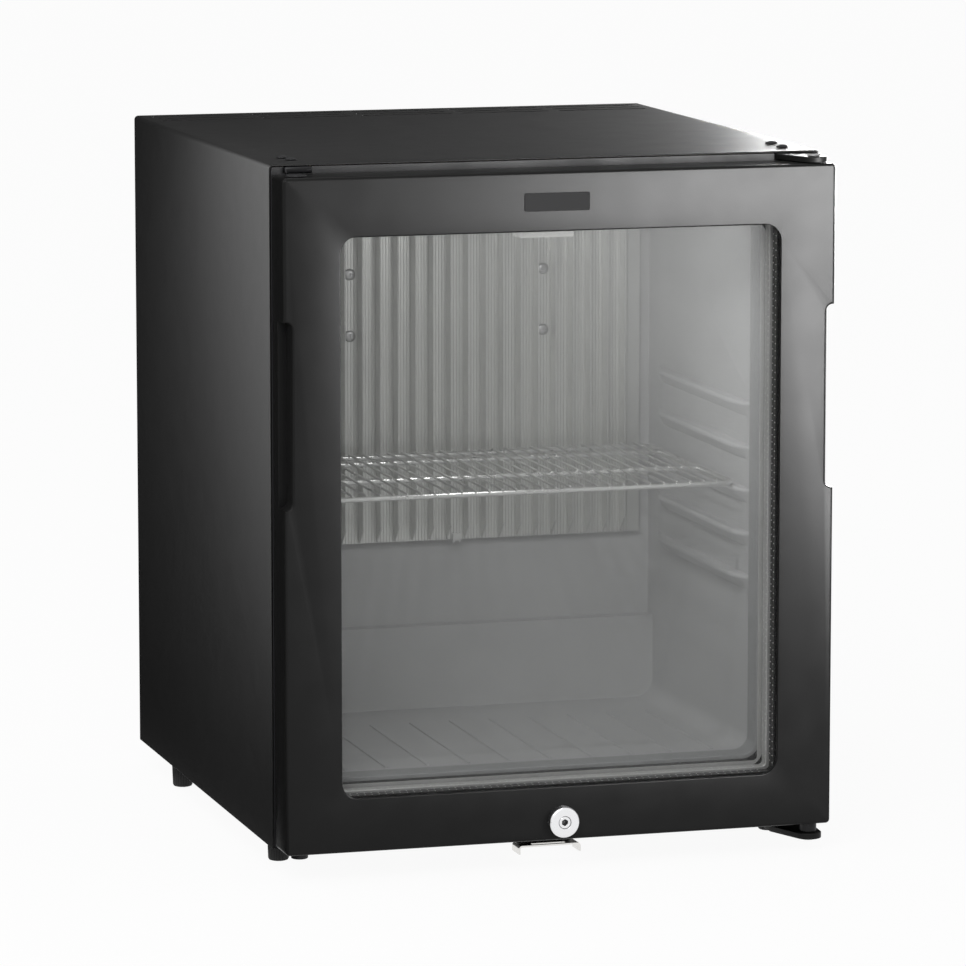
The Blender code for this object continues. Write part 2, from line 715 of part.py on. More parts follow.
def build_foam(cabinet, finishes):
    shape = box((-INSIDE_HALF, LINER_FRONT, INSIDE_FLOOR), (INSIDE_HALF, FOAM_DEPTH - GAP, INSIDE_TOP))
    foam = cabinet.piece("foam_insulation", shape, finishes["foam"])
    low = INSIDE_FLOOR - 2 * WRAP_RADIUS
    corners = rounded_rect(-INSIDE_HALF, INSIDE_HALF, low, INSIDE_TOP, WRAP_RADIUS, 3)
    combine(foam, cabinet.cutter("foam_corners", prism(corners, "y", 0, FOAM_DEPTH)), "INTERSECT")
    body, crossing = compartment(cabinet, "foam_inside", LINER_WALL + GAP, 0)
    cavity = combine(cabinet.cutter("foam_cavity", body), crossing, "INTERSECT")
    combine(foam, cavity)
    slots = hinge_slots(HINGE_TONGUE + GAP)
    combine(foam, cabinet.cutter("foam_hinge_slots", slots))
    combine(foam, bolt_bores(cabinet, "foam_bolt_holes", HEIGHT - BOLT_LENGTH - GAP, HEIGHT))
    combine(foam, plate_screw_bores(cabinet, "foam_screw_holes", LINER_DEPTH + PLATE_SCREW_REACH + GAP))
    stud_top = BASE_HEIGHT + STUD_LENGTH + GAP
    studs = foot_places()[:2]
    combine(foam, bores(cabinet, "foam_stud_holes", "z", studs, STUD_RADIUS + GAP, 0, stud_top))
    screw_top = BASE_HEIGHT + KEEPER_SCREW_REACH + GAP
    places = keeper_screw_places()
    combine(foam, bores(cabinet, "foam_keeper_holes", "z", places, BOLT_HOLE, 0, screw_top))


def hinge_slots(back):
    """Openings for the hinge tongue on the right and for its blank on the left."""
    low = UPPER_PLATE_BOTTOM - GAP
    shape = box((HINGE_INNER - GAP, -SHEET, low), (HALF_WIDTH, back, HEIGHT))
    left, right = BLANK_LEFT - GAP, BLANK_LEFT + BLANK_WIDTH + GAP
    return box((left, -SHEET, low), (right, FRAME_DEPTH + GAP, HEIGHT), shape)


def build_front_frame(cabinet, finishes):
    """A plate round the mouth with a lip that the liner slides over."""
    shape = box((-INSIDE_HALF, 0, INSIDE_FLOOR), (INSIDE_HALF, FRAME_DEPTH, INSIDE_TOP))
    frame = cabinet.piece("front_frame", shape, finishes["black_plastic"])
    radius = WRAP_RADIUS - SHEET
    corners = rounded_rect(
        -INSIDE_HALF, INSIDE_HALF, INSIDE_FLOOR - 2 * radius, INSIDE_TOP, radius, 3
    )
    rounded = prism(corners, "y", -SHEET, FRAME_DEPTH + SHEET)
    combine(frame, cabinet.cutter("frame_corners", rounded), "INTERSECT")
    mouth = rounded_rect(
        -LINER_HALF + MOUTH_INSET,
        LINER_HALF - MOUTH_INSET,
        LINER_FLOOR + MOUTH_INSET,
        LINER_TOP - MOUTH_INSET,
        LINER_RADIUS - MOUTH_INSET,
    )
    combine(frame, cabinet.cutter("mouth", prism(mouth, "y", -SHEET, FRAME_DEPTH + SHEET)))
    beyond = 2 * max(SIDE_INSULATION, FLOOR_INSULATION, TOP_INSULATION)
    behind = [
        (-GAP, FRAME_PLATE),
        (beyond, FRAME_PLATE),
        (beyond, FRAME_DEPTH + SHEET),
        (-GAP, FRAME_DEPTH + SHEET),
    ]
    pocket = swept_frame(behind, -LINER_HALF, LINER_HALF, LINER_FLOOR, LINER_TOP, LINER_RADIUS)
    combine(frame, cabinet.cutter("behind_plate", pocket))
    combine(frame, cabinet.cutter("frame_hinge_slots", hinge_slots(FRAME_DEPTH + SHEET)))


def build_rear_panel(cabinet, finishes):
    radius = WRAP_RADIUS - SHEET
    outline = rounded_rect(-INSIDE_HALF, INSIDE_HALF, INSIDE_FLOOR, INSIDE_TOP, radius, 3)
    cabinet.piece(
        "rear_panel", prism(outline, "y", FOAM_DEPTH, REAR_PANEL_BACK), finishes["galvanised"]
    )


def plate_screw_places():
    x = ((FINS - 1) / 2 - PLATE_SCREW_FINS) * FIN_PITCH
    z = PLATE_BOTTOM + PLATE_SCREW_RISE
    return [(side * x, z + row * PLATE_SCREW_PITCH) for side in (-1, 1) for row in (0, 1)]


def plate_screw_bores(cabinet, name, end):
    return bores(cabinet, name, "y", plate_screw_places(), BOLT_HOLE, PLATE_FRONT - SHEET, end)


def build_evaporator(cabinet, finishes):
    """A comb of fins on a plate whose side flanges stand it off the liner."""
    half = PLATE_HALF
    back, behind = LINER_DEPTH - GAP, PLATE_FRONT + EVAPORATOR_SHEET
    outline = [(half, back), (half, PLATE_FRONT)]
    for i in reversed(range(FINS)):
        middle = (i - (FINS - 1) / 2) * FIN_PITCH
        right, left = middle + FIN_SHEET / 2, middle - FIN_SHEET / 2
        tip = PLATE_FRONT - FIN_DEPTH
        outline += [(right, PLATE_FRONT), (right, tip), (left, tip), (left, PLATE_FRONT)]
    outline += [(-half, PLATE_FRONT), (-half, back), (-half + EVAPORATOR_SHEET, back)]
    outline += [(-half + EVAPORATOR_SHEET, behind), (half - EVAPORATOR_SHEET, behind)]
    outline += [(half - EVAPORATOR_SHEET, back)]
    plate = cabinet.piece(
        "evaporator_plate", prism(outline, "z", PLATE_BOTTOM, PLATE_TOP), finishes["aluminium"]
    )
    tip = PLATE_FRONT - FIN_DEPTH
    below = PLATE_BOTTOM - FIN_DEPTH
    wedge = (
        (PLATE_FRONT + FIN_DEPTH, below),
        (tip - FIN_DEPTH, below),
        (tip - FIN_DEPTH, PLATE_BOTTOM + 2 * FIN_DEPTH),
        (PLATE_FRONT, PLATE_BOTTOM),
        (PLATE_FRONT + FIN_DEPTH, PLATE_BOTTOM - SHEET),
    )
    combine(plate, cabinet.cutter("fin_chamfer", prism(wedge, "x", -HALF_WIDTH, HALF_WIDTH)))
    combine(plate, plate_screw_bores(cabinet, "plate_screw_holes", LINER_DEPTH))
    for number, place in enumerate(plate_screw_places(), 1):
        head = PLATE_FRONT - GAP
        profile = [
            (BOLT_RADIUS * 1.1, head - BOLT_HEAD_HEIGHT),
            (BOLT_HEAD_RADIUS * 0.75, head - BOLT_HEAD_HEIGHT * 0.85),
            (BOLT_HEAD_RADIUS, head - BOLT_HEAD_HEIGHT * 0.4),
            (BOLT_HEAD_RADIUS, head),
            (BOLT_RADIUS, head),
            (BOLT_RADIUS, LINER_DEPTH + PLATE_SCREW_REACH),
        ]
        cabinet.piece(f"evaporator_screw_{number}", turned(profile, "y", place, 12), finishes["zinc"])
    left = (FINS % 2) * FIN_PITCH / 2 - PROBE_WIDTH / 2
    low = PLATE_BOTTOM - PROBE_DROP
    back = PLATE_FRONT - GAP
    clip = box((left, back - PROBE_DEPTH, low), (left + PROBE_WIDTH, back, low + PROBE_HEIGHT))
    round_edges(cabinet.piece("probe_clip", clip, finishes["lamp_white"]), PROBE_DEPTH / 5)


def build_lamp(cabinet, finishes):
    """The lamp hangs from the frame's lip at the top of the mouth, with its lens underneath."""
    top = LINER_TOP - MOUTH_INSET - GAP
    low = top - LAMP_HEIGHT
    half = LAMP_LENGTH / 2
    shape = box((-half, LAMP_START, low), (half, LAMP_START + LAMP_DEPTH, top))
    round_edges(cabinet.piece("lamp_housing", shape, finishes["lamp_white"]), LAMP_HEIGHT / 8)
    inset = half - LENS_INSET
    lens = box(
        (-inset, LAMP_START + LENS_INSET, low - GAP - LENS_HEIGHT),
        (inset, LAMP_START + LAMP_DEPTH - LENS_INSET, low - GAP),
    )
    round_edges(cabinet.piece("lamp_lens", lens, finishes["lamp_white"]), LENS_HEIGHT / 3)


def bracket_outline(back):
    """A hinge bracket from above: a tongue that narrows to a round nose about the pin."""
    pin = (HINGE_X, -HINGE_REACH)
    outline = [(HINGE_RIGHT, back), (HINGE_INNER, back), (HINGE_INNER, 0)]
    outline += arc(pin, HINGE_NOSE, 200, 350, 10)
    return outline + [(HINGE_RIGHT, 0)]


def build_upper_hinge(cabinet, finishes):
    outline = bracket_outline(HINGE_TONGUE)
    bracket = cabinet.piece(
        "upper_hinge_bracket",
        prism(outline, "z", UPPER_PLATE_BOTTOM, UPPER_PLATE_TOP - GAP),
        finishes["painted_steel"],
    )
    pin = [(HINGE_X, -HINGE_REACH)]
    low, high = DOOR_TOP - PIN_IN_DOOR, UPPER_PLATE_TOP
    combine(bracket, bores(cabinet, "upper_pin_hole", "z", pin, PIN_RADIUS + GAP, low, high + SHEET))
    combine(bracket, bolt_bores(cabinet, "bracket_bolt_holes", low, high))
    profile = [
        (PIN_RADIUS * 0.7, low),
        (PIN_RADIUS, low + PIN_RADIUS * 0.3),
        (PIN_RADIUS, high),
        (PIN_HEAD_RADIUS, high),
        (PIN_HEAD_RADIUS, high + PIN_HEAD_HEIGHT * 0.5),
        (PIN_HEAD_RADIUS * 0.7, high + PIN_HEAD_HEIGHT),
    ]
    cabinet.piece("upper_hinge_pin", turned(profile, "z", pin[0], 12), finishes["zinc"])

    head = HEIGHT + GAP
    dome = [
        (BOLT_RADIUS, HEIGHT - BOLT_LENGTH),
        (BOLT_RADIUS, head),
        (BOLT_HEAD_RADIUS, head),
        (BOLT_HEAD_RADIUS, head + BOLT_HEAD_HEIGHT * 0.3),
        (BOLT_HEAD_RADIUS * 0.8, head + BOLT_HEAD_HEIGHT * 0.8),
        (BOLT_HEAD_RADIUS * 0.4, head + BOLT_HEAD_HEIGHT),
    ]
    for number, place in enumerate(BOLT_PLACES, 1):
        cabinet.piece(f"upper_hinge_bolt_{number}", turned(dome, "z", place, 12), finishes["black_plastic"])
    for number, place in enumerate(BLANK_PLACES, 1):
        cabinet.piece(f"blank_cap_{number}", turned(dome, "z", place, 12), finishes["black_plastic"])
    blank = box(
        (BLANK_LEFT, -BLANK_PROUD, UPPER_PLATE_BOTTOM),
        (BLANK_LEFT + BLANK_WIDTH, FRAME_DEPTH, UPPER_PLATE_TOP - GAP),
    )
    round_edges(cabinet.piece("hinge_slot_blank", blank, finishes["black_plastic"]), BLANK_PROUD / 6)


def build_lower_hinge(cabinet, finishes):
    """The lower bracket steps down from the base to carry the door on its pin."""
    seat = BASE_HEIGHT - GAP
    front = -HINGE_REACH - 2 * HINGE_NOSE
    side = (
        (front, LOWER_PLATE_BOTTOM),
        (LOWER_RISER, LOWER_PLATE_BOTTOM),
        (LOWER_RISER + HINGE_SHEET, LOWER_PLATE_BOTTOM + HINGE_SHEET),
        (LOWER_RISER + HINGE_SHEET, seat - HINGE_SHEET / 2),
        (LOWER_TONGUE + SHEET, seat - HINGE_SHEET / 2),
        (LOWER_TONGUE + SHEET, seat),
        (LOWER_RISER, seat),
        (LOWER_RISER, LOWER_PLATE_TOP),
        (front, LOWER_PLATE_TOP),
    )
    bracket = cabinet.piece(
        "lower_hinge_bracket", prism(side, "x", 0, WIDTH), finishes["painted_steel"]
    )
    plan = prism(bracket_outline(LOWER_TONGUE), "z", 0, BASE_HEIGHT)
    combine(bracket, cabinet.cutter("lower_bracket_plan", plan), "INTERSECT")
    pin = (HINGE_X, -HINGE_REACH)
    hole = bores(cabinet, "lower_pin_hole", "z", [pin], PIN_RADIUS + GAP, 0, LOWER_PLATE_TOP + SHEET)
    combine(bracket, hole)
    top = DOOR_BOTTOM + PIN_IN_DOOR
    low = LOWER_PLATE_BOTTOM - GAP
    profile = [
        (PIN_HEAD_RADIUS * 0.8, low - PIN_HEAD_HEIGHT),
        (PIN_HEAD_RADIUS, low - PIN_HEAD_HEIGHT * 0.5),
        (PIN_HEAD_RADIUS, low),
        (PIN_RADIUS, low),
        (PIN_RADIUS, top - PIN_RADIUS * 0.3),
        (PIN_RADIUS * 0.7, top),
    ]
    cabinet.piece("lower_hinge_pin", turned(profile, "z", pin, 12), finishes["zinc"])


def keeper_screw_places():
    y = KEEPER_CHANNEL + KEEPER_RAMP + KEEPER_TONGUE / 2
    return [(side * KEEPER_SCREW_SPREAD, y) for side in (-1, 1)]


def build_keeper(cabinet, finishes):
    """A bent strip: a channel with the slot for the lock's cam, and a tongue screwed to the base."""
    seat = BASE_HEIGHT - GAP
    half = KEEPER_WIDTH / 2
    ramp, end = KEEPER_CHANNEL + KEEPER_RAMP, KEEPER_CHANNEL + KEEPER_RAMP + KEEPER_TONGUE
    side = (
        (-KEEPER_FRONT, KEEPER_TOP - KEEPER_SHEET),
        (KEEPER_CHANNEL, KEEPER_TOP - KEEPER_SHEET),
        (ramp, seat - KEEPER_SHEET),
        (end, seat - KEEPER_SHEET),
        (end, seat),
        (ramp - KEEPER_SHEET, seat),
        (KEEPER_CHANNEL - KEEPER_SHEET, KEEPER_TOP),
        (-KEEPER_FRONT, KEEPER_TOP),
    )
    keeper = cabinet.piece("lock_keeper", prism(side, "x", -half, half), finishes["zinc"])
    flanges = bmesh.new()
    for edge in (-half, half - KEEPER_SHEET):
        low = (edge, -KEEPER_FRONT, KEEPER_TOP - KEEPER_DROP)
        high = (edge + KEEPER_SHEET, KEEPER_CHANNEL - KEEPER_SHEET, KEEPER_TOP - KEEPER_SHEET / 2)
        box(low, high, flanges)
    combine(keeper, cabinet.cutter("keeper_flanges", flanges), "UNION")
    slot_front = -CAM_BACK - CAM_SHEET - KEEPER_SLOT_CLEARANCE
    slot = rounded_rect(
        -KEEPER_SLOT_WIDTH / 2,
        KEEPER_SLOT_WIDTH / 2,
        slot_front,
        -CAM_BACK + KEEPER_SLOT_CLEARANCE,
        KEEPER_SLOT_CLEARANCE,
        2,
    )
    low, high = KEEPER_TOP - 2 * KEEPER_SHEET, KEEPER_TOP + KEEPER_SHEET
    combine(keeper, cabinet.cutter("keeper_slot", prism(slot, "z", low, high)))
    places = keeper_screw_places()
    combine(keeper, bores(cabinet, "keeper_tongue_holes", "z", places, BOLT_HOLE, 0, BASE_HEIGHT))


def window_rect(offset, radius, steps=4):
    return rounded_rect(
        -WINDOW_HALF - offset,
        WINDOW_HALF + offset,
        WINDOW_BOTTOM - offset,
        WINDOW_TOP + offset,
        radius,
        steps,
    )


def build_door_frame(door, finishes):
    """One moulding: a lipped window, a rebate for the glazing, grips, and bores for hinges and lock."""
    front, back = -DOOR_REACH, -DOOR_GAP
    shape = box((-DOOR_HALF, front, DOOR_BOTTOM), (DOOR_HALF, back, DOOR_TOP))
    frame = door.piece("door_front_frame", shape, finishes["door_plastic"])
    round_edges(frame, DOOR_EDGE_RADIUS, 2)

    grips = bmesh.new()
    for side in (-1, 1):
        inner, outer = side * (DOOR_HALF - GRIP_DEPTH), side * (DOOR_HALF + GRIP_DEPTH)
        outline = rounded_rect(
            min(inner, outer), max(inner, outer), GRIP_BOTTOM, GRIP_BOTTOM + GRIP_LENGTH, GRIP_RADIUS, 3
        )
        prism(outline, "y", front - GRIP_DEPTH, front + GRIP_REACH, grips)
    combine(frame, door.cutter("grips", grips))

    sections = (
        (front - WINDOW_CHAMFER, 2 * WINDOW_CHAMFER),
        (front + WINDOW_CHAMFER, 0),
        (back + WINDOW_CHAMFER, 0),
    )
    loops = []
    for y, offset in sections:
        loops.append([(x, y, z) for x, z in window_rect(offset, WINDOW_RADIUS + offset)])
    combine(frame, door.cutter("window", loft(bmesh.new(), loops)))
    rebate = window_rect(GLASS_OVERLAP + GAP, GLASS_RADIUS + GAP)
    rebate_front = front + WINDOW_LIP
    combine(frame, door.cutter("glass_rebate", prism(rebate, "y", rebate_front, back + SHEET)))
    seat = window_rect(RETAINER_WIDTH + GAP, WINDOW_RADIUS + RETAINER_WIDTH + GAP)
    combine(frame, door.cutter("retainer_seat", prism(seat, "y", RETAINER_FRONT - GAP, back + SHEET)))

    shape = bmesh.new()
    hinge_bores = [(side * HINGE_X, -HINGE_REACH) for side in (-1, 1)]
    depth = BUSH_LENGTH + 2 * GAP
    for place in hinge_bores:
        for start, end in ((DOOR_BOTTOM - SHEET, DOOR_BOTTOM + depth), (DOOR_TOP - depth, DOOR_TOP + SHEET)):
            turned([(BUSH_HOLE, start), (BUSH_HOLE, end)], "z", place, 12, shape=shape)
    combine(frame, door.cutter("hinge_bores", shape))

    bore = [(BARREL_RADIUS + GAP, front - SHEET), (BARREL_RADIUS + GAP, nut_front() - GAP)]
    bore += [(NUT_POCKET_RADIUS, nut_front() - GAP), (NUT_POCKET_RADIUS, back + SHEET)]
    combine(frame, door.cutter("lock_bore", turned(bore, "y", (0, LOCK_Z), 24)))

    badge = badge_rect(GAP)
    combine(frame, door.cutter("badge_recess", prism(badge, "y", front - SHEET, front + BADGE_RECESS)))


def badge_rect(offset):
    return rounded_rect(
        BADGE_LEFT - offset,
        BADGE_LEFT + BADGE_WIDTH + offset,
        BADGE_BOTTOM - offset,
        BADGE_BOTTOM + BADGE_HEIGHT + offset,
        BADGE_CORNER + offset,
        2,
    )


def nut_front():
    """Where the lock's nut bears on the floor of its pocket in the door."""
    return -DOOR_GAP - NUT_HEIGHT - 2 * GAP


def build_glazing(door, finishes):
    """Three panes on two spacer frames, held in the rebate by the back frame."""
    y = GLASS_FRONT
    pane_outline = window_rect(GLASS_OVERLAP, GLASS_RADIUS)
    for name in ("outer_glass", "outer_spacer", "middle_glass", "inner_spacer", "inner_glass"):
        if name.endswith("glass"):
            door.piece(name, prism(pane_outline, "y", y, y + GLASS), finishes["glass"])
            y += GLASS + GAP
            continue
        profile = [
            (0, y),
            (SPACER_WIDTH, y),
            (SPACER_WIDTH, y + SPACER_DEPTH),
            (0, y + SPACER_DEPTH),
        ]
        inset = SPACER_INSET
        shape = swept_frame(
            profile,
            -WINDOW_HALF + inset,
            WINDOW_HALF - inset,
            WINDOW_BOTTOM + inset,
            WINDOW_TOP - inset,
            GLASS_RADIUS,
            3,
        )
        door.piece(name, shape, finishes["dark_aluminium" if name.startswith("outer") else "zinc"])
        y += SPACER_DEPTH + GAP

    window = (-WINDOW_HALF, WINDOW_HALF, WINDOW_BOTTOM, WINDOW_TOP, WINDOW_RADIUS)
    profile = [
        (0, RETAINER_FRONT),
        (RETAINER_WIDTH, RETAINER_FRONT),
        (RETAINER_WIDTH, RETAINER_FRONT + RETAINER),
        (0, RETAINER_FRONT + RETAINER),
    ]
    door.piece("door_back_frame", swept_frame(profile, *window), finishes["door_plastic"])

    inner, outer = SEAL_INSET, SEAL_INSET + SEAL_WIDTH
    height = -GAP - SEAL_FRONT
    profile = [
        (inner, SEAL_FRONT),
        (outer, SEAL_FRONT),
        (outer, SEAL_FRONT + height * 0.2),
        (outer - SEAL_WAIST, SEAL_FRONT + height * 0.45),
        (outer - SEAL_WAIST / 4, SEAL_FRONT + height * 0.7),
        (outer - SEAL_WAIST / 4, -GAP),
        (inner + SEAL_WAIST / 4, -GAP),
        (inner + SEAL_WAIST / 4, SEAL_FRONT + height * 0.7),
        (inner + SEAL_WAIST, SEAL_FRONT + height * 0.45),
        (inner, SEAL_FRONT + height * 0.2),
    ]
    door.piece("door_seal", swept_frame(profile, *window), finishes["rubber"])


def build_door_fittings(door, finishes):
    upper = (HINGE_X, -HINGE_REACH)
    inside = PIN_RADIUS + GAP
    top, bottom = DOOR_TOP - GAP, DOOR_BOTTOM - GAP
    sleeve = [
        (inside, top - BUSH_LENGTH),
        (BUSH_RADIUS, top - BUSH_LENGTH),
        (BUSH_RADIUS, top),
        (inside, top),
    ]
    door.piece("door_bush_upper", turned(sleeve, "z", upper, 12, hollow=True), finishes["black_plastic"])
    sleeve = [
        (inside, LOWER_PLATE_TOP + GAP),
        (LOWER_FLANGE_RADIUS, LOWER_PLATE_TOP + GAP),
        (LOWER_FLANGE_RADIUS, bottom),
        (BUSH_RADIUS, bottom),
        (BUSH_RADIUS, bottom + BUSH_LENGTH),
        (inside, bottom + BUSH_LENGTH),
    ]
    door.piece("door_bush_lower", turned(sleeve, "z", upper, 12, hollow=True), finishes["black_plastic"])

    blank = (-HINGE_X, -HINGE_REACH)
    seat = DOOR_TOP + GAP
    plug = [
        (BUSH_RADIUS * 0.8, top - BUSH_LENGTH),
        (BUSH_RADIUS, top - BUSH_LENGTH * 0.8),
        (BUSH_RADIUS, seat),
        (PLUG_HEAD_UPPER, seat),
        (PLUG_HEAD_UPPER, seat + PLUG_HEAD_HEIGHT * 0.5),
        (PLUG_HEAD_UPPER * 0.85, seat + PLUG_HEAD_HEIGHT),
    ]
    door.piece("door_plug_upper", turned(plug, "z", blank, 12), finishes["black_plastic"])
    plug = [
        (LOWER_FLANGE_RADIUS * 0.85, bottom - PLUG_HEAD_LOWER),
        (LOWER_FLANGE_RADIUS, bottom - PLUG_HEAD_LOWER * 0.8),
        (LOWER_FLANGE_RADIUS, bottom),
        (BUSH_RADIUS, bottom),
        (BUSH_RADIUS, bottom + BUSH_LENGTH * 0.8),
        (BUSH_RADIUS * 0.8, bottom + BUSH_LENGTH),
    ]
    door.piece("door_plug_lower", turned(plug, "z", blank, 12), finishes["black_plastic"])

    back = -DOOR_REACH + BADGE_RECESS - GAP
    badge = prism(badge_rect(0), "y", back - BADGE_SHEET, back)
    round_edges(door.piece("badge_plate", badge, finishes["black_plastic"]), BADGE_SHEET / 4, 1)


def build_lock_body(door, finishes):
    """A chromed housing through the lower rail, held by a nut on the inside."""
    front = LOCK_FRONT
    seat = -DOOR_REACH - GAP
    inside = LOCK_PLUG_RADIUS + GAP
    end = -DOOR_GAP - GAP
    profile = [(inside, front)]
    profile += [
        (LOCK_FACE_RADIUS - LOCK_EDGE + u, front + LOCK_EDGE - v) for u, v in arc((0, 0), LOCK_EDGE, 90, 0, 3)
    ]
    profile += [(LOCK_FACE_RADIUS, seat), (BARREL_RADIUS, seat), (BARREL_RADIUS, end), (inside, end)]
    housing = turned(profile, "y", (0, LOCK_Z), 20, hollow=True)
    door.piece("lock_housing", housing, finishes["chrome"])

    start = nut_front()
    outline = arc((0, LOCK_Z), NUT_RADIUS, 0, 300, 5)
    nut = door.piece("lock_nut", prism(outline, "y", start, start + NUT_HEIGHT), finishes["zinc"])
    hole = bores(door, "nut_hole", "y", [(0, LOCK_Z)], BARREL_RADIUS + GAP, start - SHEET, end + SHEET, 24)
    combine(nut, hole)


def build_lock_plug(lock, finishes):
    """The turning plug with its key socket, its square tail, and the cam screwed to the tail."""
    front = LOCK_FRONT + GAP
    shoulder = -DOOR_GAP - GAP
    tail_end = -CAM_BACK - GAP
    profile = [(LOCK_PLUG_RADIUS, front), (LOCK_PLUG_RADIUS, shoulder)]
    plug = lock.piece("lock_plug", turned(profile, "y", (0, LOCK_Z), 24), finishes["chrome"])
    half = TAIL / 2
    tail = box((-half, shoulder - SHEET, LOCK_Z - half), (half, tail_end, LOCK_Z + half))
    combine(plug, lock.cutter("plug_tail", tail), "UNION")
    socket = prism(arc((0, LOCK_Z), SOCKET_RADIUS, 30, 330, 5), "y", front - SHEET, front + SOCKET_DEPTH)
    combine(plug, lock.cutter("key_socket", socket))
    screw_end = tail_end + GAP - CAM_SCREW_LENGTH
    hole = bores(
        lock, "tail_hole", "y", [(0, LOCK_Z)], CAM_SCREW_RADIUS + GAP, screw_end - GAP, tail_end + SHEET, 12
    )
    combine(plug, hole)

    reach = CAM_REACH - CAM_WIDTH / 2
    outline = arc((0, LOCK_Z), CAM_HUB, 35, 325, 14)
    outline += arc((reach, LOCK_Z), CAM_WIDTH / 2, -90, 90, 6)
    cam = prism(outline, "y", -CAM_BACK - CAM_SHEET, -CAM_BACK)
    cam = lock.piece("lock_cam", cam, finishes["zinc"])
    half = TAIL / 2 + GAP
    hole = box(
        (-half, -CAM_BACK - 2 * CAM_SHEET, LOCK_Z - half), (half, -CAM_BACK + CAM_SHEET, LOCK_Z + half)
    )
    combine(cam, lock.cutter("cam_hole", hole))

    seat = -CAM_BACK + GAP
    profile = [
        (CAM_SCREW_RADIUS, screw_end),
        (CAM_SCREW_RADIUS, seat),
        (CAM_SCREW_HEAD, seat),
        (CAM_SCREW_HEAD, seat + CAM_SCREW_HEAD_HEIGHT * 0.6),
        (CAM_SCREW_HEAD * 0.8, seat + CAM_SCREW_HEAD_HEIGHT),
    ]
    lock.piece("cam_screw", turned(profile, "y", (0, LOCK_Z), 12), finishes["zinc"])


def wire(shape, axis, place, radius, start, end, steps):
    return turned([(radius, start), (radius, end)], axis, place, steps, shape=shape)


def build_shelf(shelf, finishes):
    """A bent frame wire with two cross wires, and the thin wires welded on top of them."""
    half = SHELF_HALF - SHELF_FRAME_WIRE
    front = SHELF_FRONT + SHELF_FRAME_WIRE
    back = SHELF_BACK - SHELF_FRAME_WIRE
    loops = []
    for i in range(6):
        angle = 2 * math.pi * i / 6
        offset = SHELF_FRAME_WIRE * math.cos(angle)
        height = SHELF_Z + SHELF_FRAME_WIRE * math.sin(angle)
        outline = rounded_rect(
            -half - offset, half + offset, front - offset, back + offset, SHELF_RADIUS + offset, 3
        )
        loops.append([(x, y, height) for x, y in outline])
    frame = shelf.piece("wire_shelf", loft(bmesh.new(), loops, closed=True), finishes["white_wire"])

    cross = bmesh.new()
    for y in (SHELF_FRONT + SHELF_CROSS_FRONT, SHELF_BACK - SHELF_CROSS_BACK):
        wire(cross, "x", (y, SHELF_Z), SHELF_FRAME_WIRE, -half, half, 6)
    combine(frame, shelf.cutter("cross_wires", cross), "UNION")

    thin = bmesh.new()
    height = SHELF_Z + SHELF_FRAME_WIRE + SHELF_WIRE - SHELF_WELD
    for i in range(SHELF_WIRES):
        x = (i - (SHELF_WIRES - 1) / 2) * SHELF_WIRE_PITCH
        wire(thin, "y", (x, height), SHELF_WIRE, front - SHELF_WIRE, back + SHELF_WIRE, 4)
    combine(frame, shelf.cutter("thin_wires", thin), "UNION")


def build_foot(group, name, place, finishes):
    top = BASE_HEIGHT - GAP
    radius = FOOT_RADIUS
    profile = [
        (radius - FOOT_TAPER - FOOT_EDGE, 0),
        (radius - FOOT_TAPER - FOOT_EDGE * 0.3, FOOT_EDGE * 0.3),
        (radius - FOOT_TAPER, FOOT_EDGE),
        (radius, top - FOOT_EDGE),
        (radius - FOOT_EDGE, top),
    ]
    shape = bmesh.new()
    turned(profile, "z", place, 16, shape=shape, flute=FOOT_FLUTE)
    foot = group.piece(name, shape, finishes["rubber"])
    stud = bmesh.new()
    turned([(STUD_RADIUS, top - FOOT_EDGE), (STUD_RADIUS, top + STUD_LENGTH)], "z", place, 12, shape=stud)
    combine(foot, group.cutter(name + "_stud", stud), "UNION")


def hat_outline(middle):
    """A top-hat section from the side, open towards the rear panel."""
    half, sheet = RAIL_WIDTH / 2, RAIL_SHEET
    back, web = RAIL_FRONT, RAIL_FRONT + RAIL_DEPTH
    return (
        (back, middle - half - RAIL_FLANGE),
        (back, middle - half + sheet),
        (web - sheet, middle - half + sheet),
        (web - sheet, middle + half - sheet),
        (back, middle + half - sheet),
        (back, middle + half + RAIL_FLANGE),
        (back + sheet, middle + half + RAIL_FLANGE),
        (back + sheet, middle + half),
        (web, middle + half),
        (web, middle - half),
        (back + sheet, middle - half),
        (back + sheet, middle - half - RAIL_FLANGE),
    )


def build_rails(cabinet, finishes):
    half = HALF_WIDTH - RAIL_SIDE
    heights = {"lower_rail": LOWER_RAIL_Z, "middle_rail": MIDDLE_RAIL_Z, "upper_rail": UPPER_RAIL_Z}
    for name, height in heights.items():
        cabinet.piece(name, prism(hat_outline(height), "x", -half, half), finishes["galvanised"])


